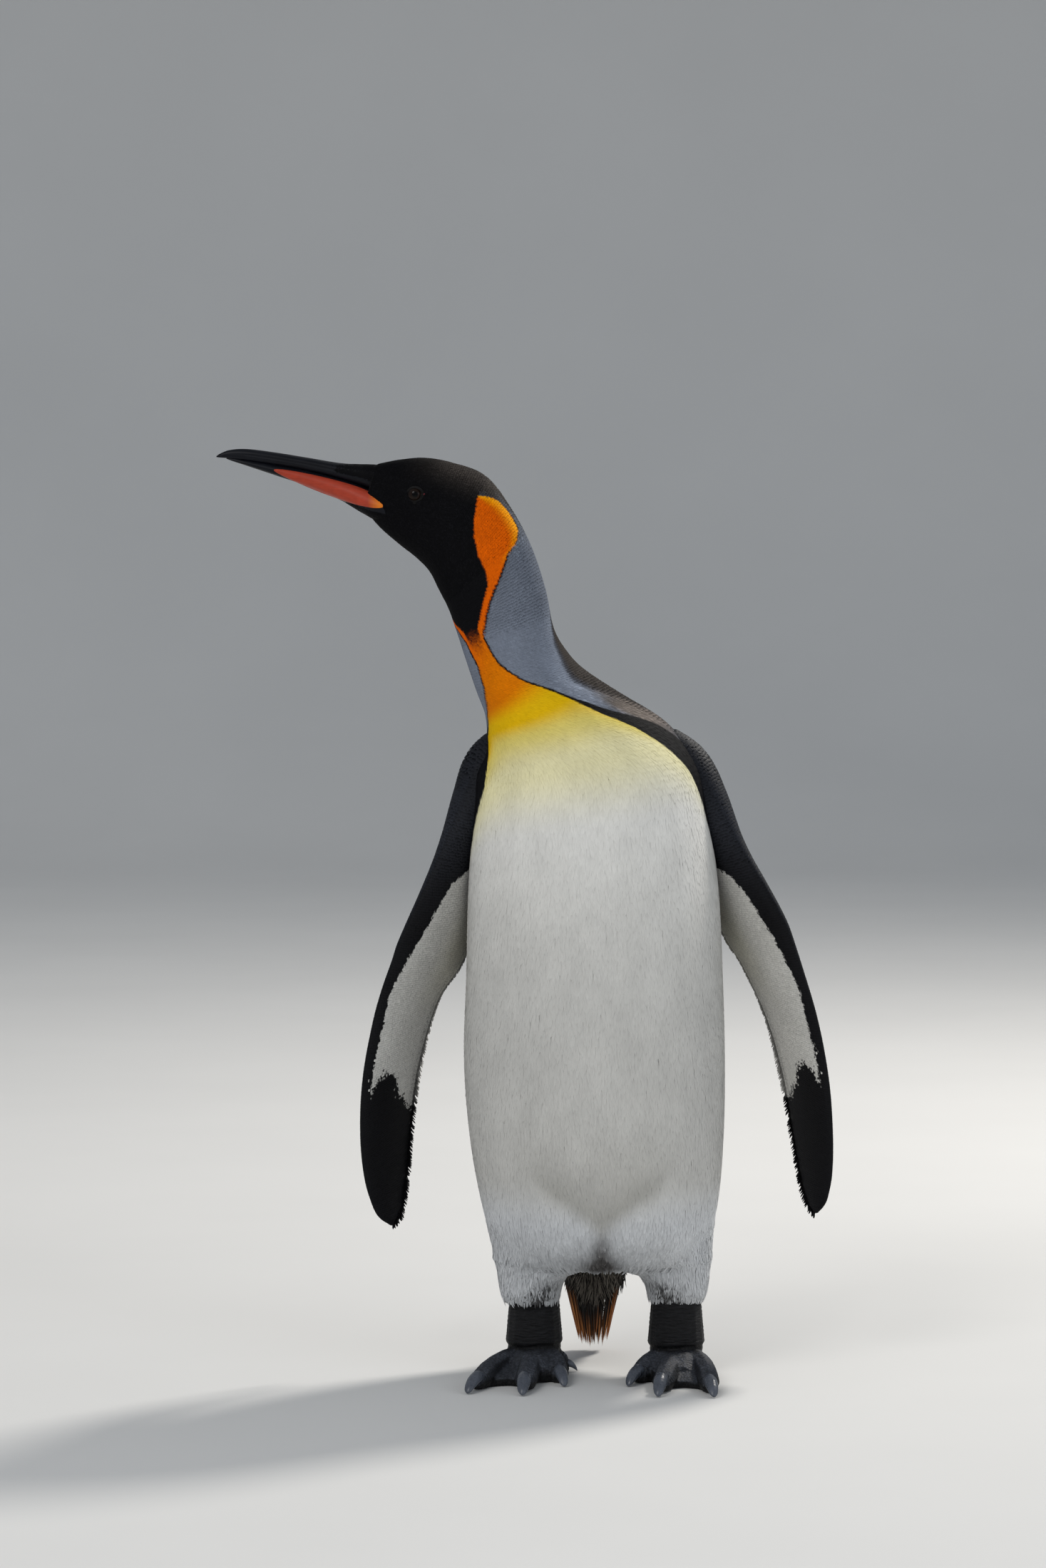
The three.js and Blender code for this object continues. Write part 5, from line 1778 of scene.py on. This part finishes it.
class PENGUIN_OT_bill(bpy.types.Operator):
    """Upper and lower bill, and the plates on the lower one"""

    bl_idname = "penguin.bill"
    bl_label = "Bill"

    def execute(self, context):
        c = palette()
        horn = horn_material("bill_horn", c["horn"], 1.6, 0.6, 0.36, 0.13, (40, 900, 900))
        rings = bill_rings(UPPER_BILL, 150, 72, groove_at=-0.05, groove=0.1, square=-1)
        finish_piece(put_closed("bill_upper_horn", rings), "bill_horn", horn, "bill_upper")
        rings = bill_rings(LOWER_BILL, 130, 64, groove_at=0.72, groove=0.05, raised=0.9 * MM)
        finish_piece(put_closed("bill_lower_horn", rings), "bill_horn", horn, "bill_lower")
        plate = self.plate_material(c)
        for name, side in HEAD_SIDES.items():
            obj = put_closed("bill_plate_" + name, plate_rings(side))
            finish_piece(obj, "bill_plate", plate, "mandible_plate_" + name)
        self.base_feathers(c)
        return {"FINISHED"}

    @staticmethod
    def plate_material(c):
        """Waxy salmon in faint lines and clouds, golden round the rear end, with a soft gloss."""
        n = Nodes(
            "bill_plate", Roughness=0.42, Subsurface_Weight=0.12, Subsurface_Scale=0.002,
            Specular_IOR_Level=0.22, Subsurface_Radius=(1.0, 0.3, 0.15),
        )
        place = n.object_place()
        split = n.add("SeparateXYZ", [("Vector", place)])
        rear = n.ranged(split.outputs["X"], -0.132, -0.122, 0.0, 1.0)
        cloud = n.noise(n.placed(place, (1, 1, 1)), 160.0, 4.0)
        lines = n.noise(n.placed(place, (60, 700, 700)), 1.0, 3.0)
        base = n.blend(cloud, tint(c["plate"], 0.8), tint(c["plate"], 1.2))
        rimmed = n.blend(rear, base, tuple(c["plate_rim"]))
        tone = n.ranged(lines, 0.3, 0.7, 0.9, 1.1)
        n.to_shader("Base Color", n.times(rimmed, tone))
        n.to_shader("Normal", n.bump(lines, 0.1, 0.0002))
        n.to_shader("Roughness", n.ranged(cloud, 0.3, 0.7, 0.36, 0.5))
        return n.material

    @staticmethod
    def base_feathers(c):
        """Short black feathers that run forward over the bases of both bills."""
        material = feather_material(
            "plumage_bill_base", roughness=0.65, gloss=0.06, streaks=0.18, relief=0.2
        )
        for seed, (name, surface) in enumerate((("upper", BILL_TOP), ("lower", BILL_LOW))):
            random = np.random.default_rng(SEEDS["bill"] + seed)
            u, a = rooted_rows(surface, (0.02, 0.4), lambda v: (0.9 * MM, 0.85 * MM), random)
            if name == "upper":
                reach = 0.27 + 0.09 * fade(np.abs(np.sin(a)), 0.3, 0.9)
                keep = (u < reach + random.normal(0, 0.012, len(u))) & (np.cos(a) > -0.55)
            else:
                reach = 0.1 + 0.24 * fade(-np.cos(a), 0.1, 0.9)
                keep = (u < reach + random.normal(0, 0.006, len(u))) & (np.cos(a) < 0.1)
            u, a = u[keep], a[keep]
            n = len(u)
            size = {
                "length": random.uniform(2.4, 3.4, n) * MM,
                "width": random.uniform(0.9, 1.3, n) * MM,
                "depth": np.full(n, 0.3 * MM),
                "lift": random.uniform(0.15, 0.25, n) * MM * (1 + 1.5 * fade(0.24 - u, 0, 0.06)),
            }

            def marks(on_u, on_a):
                return c["black"] + 0 * vector(on_u, 0, 0), np.full(n, 0.8), np.full(n, 0.9)

            obj = feathers("coat_bill_" + name, surface, u, a, size, marks, SLIM, random, sway=6.0, hug=0.8)
            finish_piece(obj, "dark_plumage", material)


# ---- eyes ---------------------------------------------------------------------------------------
class PENGUIN_OT_eyes(bpy.types.Operator):
    """Eyes: a dark iris and pupil under a clear bulging cornea"""

    bl_idname = "penguin.eyes"
    bl_label = "Eyes"

    def execute(self, context):
        c = palette()
        for name, side in HEAD_SIDES.items():
            obj = put_closed("eyeball_" + name, self.eyeball(side))
            finish_piece(obj, "eye", self.eye_material(name, c), "eye_" + name)
        return {"FINISHED"}

    @staticmethod
    def eyeball(side):
        """Rings round the eye's axis: a sphere with a steeper cap, the cornea, at its outer end."""
        polar, turn = np.meshgrid(np.linspace(0.02, np.pi - 0.02, 48), full_turn(56), indexing="ij")
        r = EYE["radius"] * (1 + 0.07 * fade(np.cos(polar), 0.72, 0.95))
        out = EYE["out"] + r * np.cos(polar) + 0.3 * MM
        x = EYE["x"] + r * np.sin(polar) * np.cos(turn)
        z = EYE["z"] + r * np.sin(polar) * np.sin(turn)
        return vector(x, HEAD_PLANE + side * out, z)

    @staticmethod
    def eye_material(name, c):
        """Pupil, iris rays and dark rim by distance from the eye's axis, under a wet gloss."""
        n = Nodes(
            "eye_" + name, Roughness=0.16, Coat_Weight=0.05, Coat_Roughness=0.12, Coat_IOR=1.35,
            Specular_IOR_Level=0.1,
        )
        place = n.placed(n.object_place(), (1, 0, 1), (-EYE["x"], 0, -EYE["z"]))
        length = n.add("VectorMath", [("Vector", place)])
        length.operation = "LENGTH"
        off_axis = length.outputs["Value"]
        rays = n.noise(n.placed(place, (1, 1, 1)), 700.0, 3.0)
        ring = n.ranged(off_axis, 0.0022, 0.0027, 0.0, 1.0)
        rim = n.ranged(off_axis, 0.0048, 0.0057, 0.0, 1.0)
        iris = n.blend(rays, tint(c["iris"], 0.45), tint(c["iris"], 1.5))
        pupil = n.blend(ring, (0.001, 0.001, 0.001), iris)
        n.to_shader("Base Color", n.blend(rim, pupil, (0.003, 0.0025, 0.002)))
        return n.material


# ---- claws --------------------------------------------------------------------------------------
class PENGUIN_OT_claws(bpy.types.Operator):
    """Claws: rounded, keeled and curved down to the floor"""

    bl_idname = "penguin.claws"
    bl_label = "Claws"

    def execute(self, context):
        c = palette()
        horn = horn_material("claw_horn", c["claw"], 1.7, 0.5, 0.3, 0.45, (900, 900, 60))
        for side_name, ankle in ANKLES.items():
            for toe_name, toe in TOES.items():
                name = side_name + "_" + toe_name
                obj = put_closed("horn_" + name, self.claw(ankle, toe))
                finish_piece(obj, "claw_horn", horn, "claw_" + name)
        return {"FINISHED"}

    @staticmethod
    def claw(ankle, toe):
        """Rings along a claw that arches up from its root and down to its tip, keeled along its top."""
        wide = toe["w"] * MM
        share, high, half, tall = CLAW
        y = -(toe["reach"] + toe["claw"] * share) * MM
        stations = {"y": y, "z": wide * high, "w": wide * half, "t": wide * tall}
        s, a = np.meshgrid(np.linspace(0, 1, 44), full_turn(28), indexing="ij")
        at = through(stations)(s)
        keel = 1 + 0.08 * np.exp(-(((np.abs(a - np.pi) - np.pi) / 0.35) ** 2))
        under = np.where(np.cos(a) < 0, 0.82, 1.0)
        ridge = 1 + 0.012 * np.sin(s * 60)
        z = np.maximum(at["z"] + at["t"] * np.cos(a) * keel * under * ridge, 0.1 * MM)
        return in_frame(toe_frame(ankle, toe), vector(at["w"] * np.sin(a) * ridge, at["y"], z))


# ---- stage --------------------------------------------------------------------------------------
CAMERA = {"x": -3 * MM, "y": -4.378, "z": 0.755, "down": 3.356, "lens": 120.0, "sensor": 36.0}
FLOOR = {"reach": 14.0, "flat": 5.6, "radius": 1.8, "height": 7.0}  # it bends up behind the bird
SKY = {"Color": (0.86, 0.92, 1.0, 1), "Strength": 0.39}
MIDDLE = (MIDLINE * 0.4, 0.0, 0.42)
LIGHTS = {  # place, aim, size, watts and colour
    "key": ((-1.6, -3.0, 2.6), MIDDLE, 1.8, 48, (1.0, 0.985, 0.96)),
    "fill": ((2.6, -2.4, 1.4), MIDDLE, 2.2, 15, (0.9, 0.95, 1.0)),
    "rim": ((1.9, 2.0, 2.9), (MIDLINE, 0, 0.5), 0.7, 110, (1.0, 0.96, 0.9)),
}


class PENGUIN_OT_stage(bpy.types.Operator):
    """Pale floor with a swept back, soft lights and the camera"""

    bl_idname = "penguin.stage"
    bl_label = "Stage"

    def execute(self, context):
        scene = context.scene
        floor = self.floor(palette()["floor"])
        world = bpy.data.worlds.new("soft_light")
        world.use_nodes = True
        for key, value in SKY.items():
            world.node_tree.nodes["Background"].inputs[key].default_value = value
        scene.world = world
        scene.view_settings.view_transform = "Standard"
        for name, light in LIGHTS.items():
            self.light(name, *light)
        data = bpy.data.cameras.new("camera")
        data.lens = CAMERA["lens"]
        data.sensor_width = CAMERA["sensor"]
        data.clip_end = 50
        camera = bpy.data.objects.new("camera", data)
        camera.location = (CAMERA["x"], CAMERA["y"], CAMERA["z"])
        camera.rotation_euler = (np.radians(90 - CAMERA["down"]), 0, 0)
        scene.collection.objects.link(camera)
        scene.camera = camera
        return {"FINISHED"}

    @staticmethod
    def floor(rgb):
        """Strip from in front of the bird, bent up behind it."""
        reach, radius = FLOOR["reach"], FLOOR["radius"]
        turn = np.linspace(0, np.pi / 2, 24)
        y = np.concatenate([[-reach], FLOOR["flat"] + radius * np.sin(turn), [FLOOR["flat"] + radius]])
        z = np.concatenate([[0.0], radius * (1 - np.cos(turn)), [FLOOR["height"]]])
        points = vector(np.array([-reach, reach])[None, :], y[:, None], z[:, None])
        i = np.arange(len(y) - 1) * 2
        floor = put("floor", points.reshape(-1, 3), [np.stack([i, i + 1, i + 3, i + 2], -1)])
        n = Nodes("floor_paint", Roughness=0.75)
        cloud = n.noise(n.placed(n.object_place(), (1, 1, 1)), 2.2, 3.0)
        n.to_shader("Base Color", n.blend(cloud, tint(rgb, 0.96), tint(rgb, 1.04)))
        floor.data.materials.append(n.material)
        return floor

    @staticmethod
    def light(name, place, aim, size, watts, rgb):
        """Round area light at place, turned to aim."""
        data = bpy.data.lights.new(name, "AREA")
        data.shape = "DISK"
        data.size = size
        data.energy = watts
        data.color = rgb
        lamp = bpy.data.objects.new(name, data)
        back = unit(np.array(place) - np.array(aim))
        right = unit(np.cross((0, 0, 1), back))
        turned = Matrix(np.stack([right, np.cross(back, right), back], 1).tolist()).to_4x4()
        lamp.matrix_world = Matrix.Translation(place) @ turned
        bpy.context.scene.collection.objects.link(lamp)


class PENGUIN_PT_panel(bpy.types.Panel):
    """Lists the penguin's pieces and settings"""

    bl_label = "King penguin"
    bl_idname = "PENGUIN_PT_panel"
    bl_space_type = "VIEW_3D"
    bl_region_type = "UI"
    bl_category = "Penguin"

    def draw(self, context):
        for operator in OPERATORS:
            self.layout.operator(operator.bl_idname)
        for group in (context.scene.penguin_sizes, context.scene.penguin_colours):
            for key in group.__annotations__:
                self.layout.prop(group, key)


OPERATORS = (
    PENGUIN_OT_stage,
    PENGUIN_OT_skin,
    PENGUIN_OT_body_coat,
    PENGUIN_OT_flipper_coat,
    PENGUIN_OT_leg_coat,
    PENGUIN_OT_tail,
    PENGUIN_OT_bill,
    PENGUIN_OT_eyes,
    PENGUIN_OT_claws,
)
CLASSES = (PenguinColours, PenguinSizes, *OPERATORS, PENGUIN_PT_panel)


def register():
    for cls in CLASSES:
        bpy.utils.register_class(cls)
    bpy.types.Scene.penguin_colours = bpy.props.PointerProperty(type=PenguinColours)
    bpy.types.Scene.penguin_sizes = bpy.props.PointerProperty(type=PenguinSizes)


def unregister():
    del bpy.types.Scene.penguin_sizes
    del bpy.types.Scene.penguin_colours
    for cls in reversed(CLASSES):
        bpy.utils.unregister_class(cls)


def main():
    register()
    bpy.ops.penguin.stage()
    bpy.ops.penguin.skin()
    bpy.ops.penguin.body_coat()
    bpy.ops.penguin.flipper_coat()
    bpy.ops.penguin.leg_coat()
    bpy.ops.penguin.tail()
    bpy.ops.penguin.bill()
    bpy.ops.penguin.eyes()
    bpy.ops.penguin.claws()


if __name__ == "__main__":
    main()
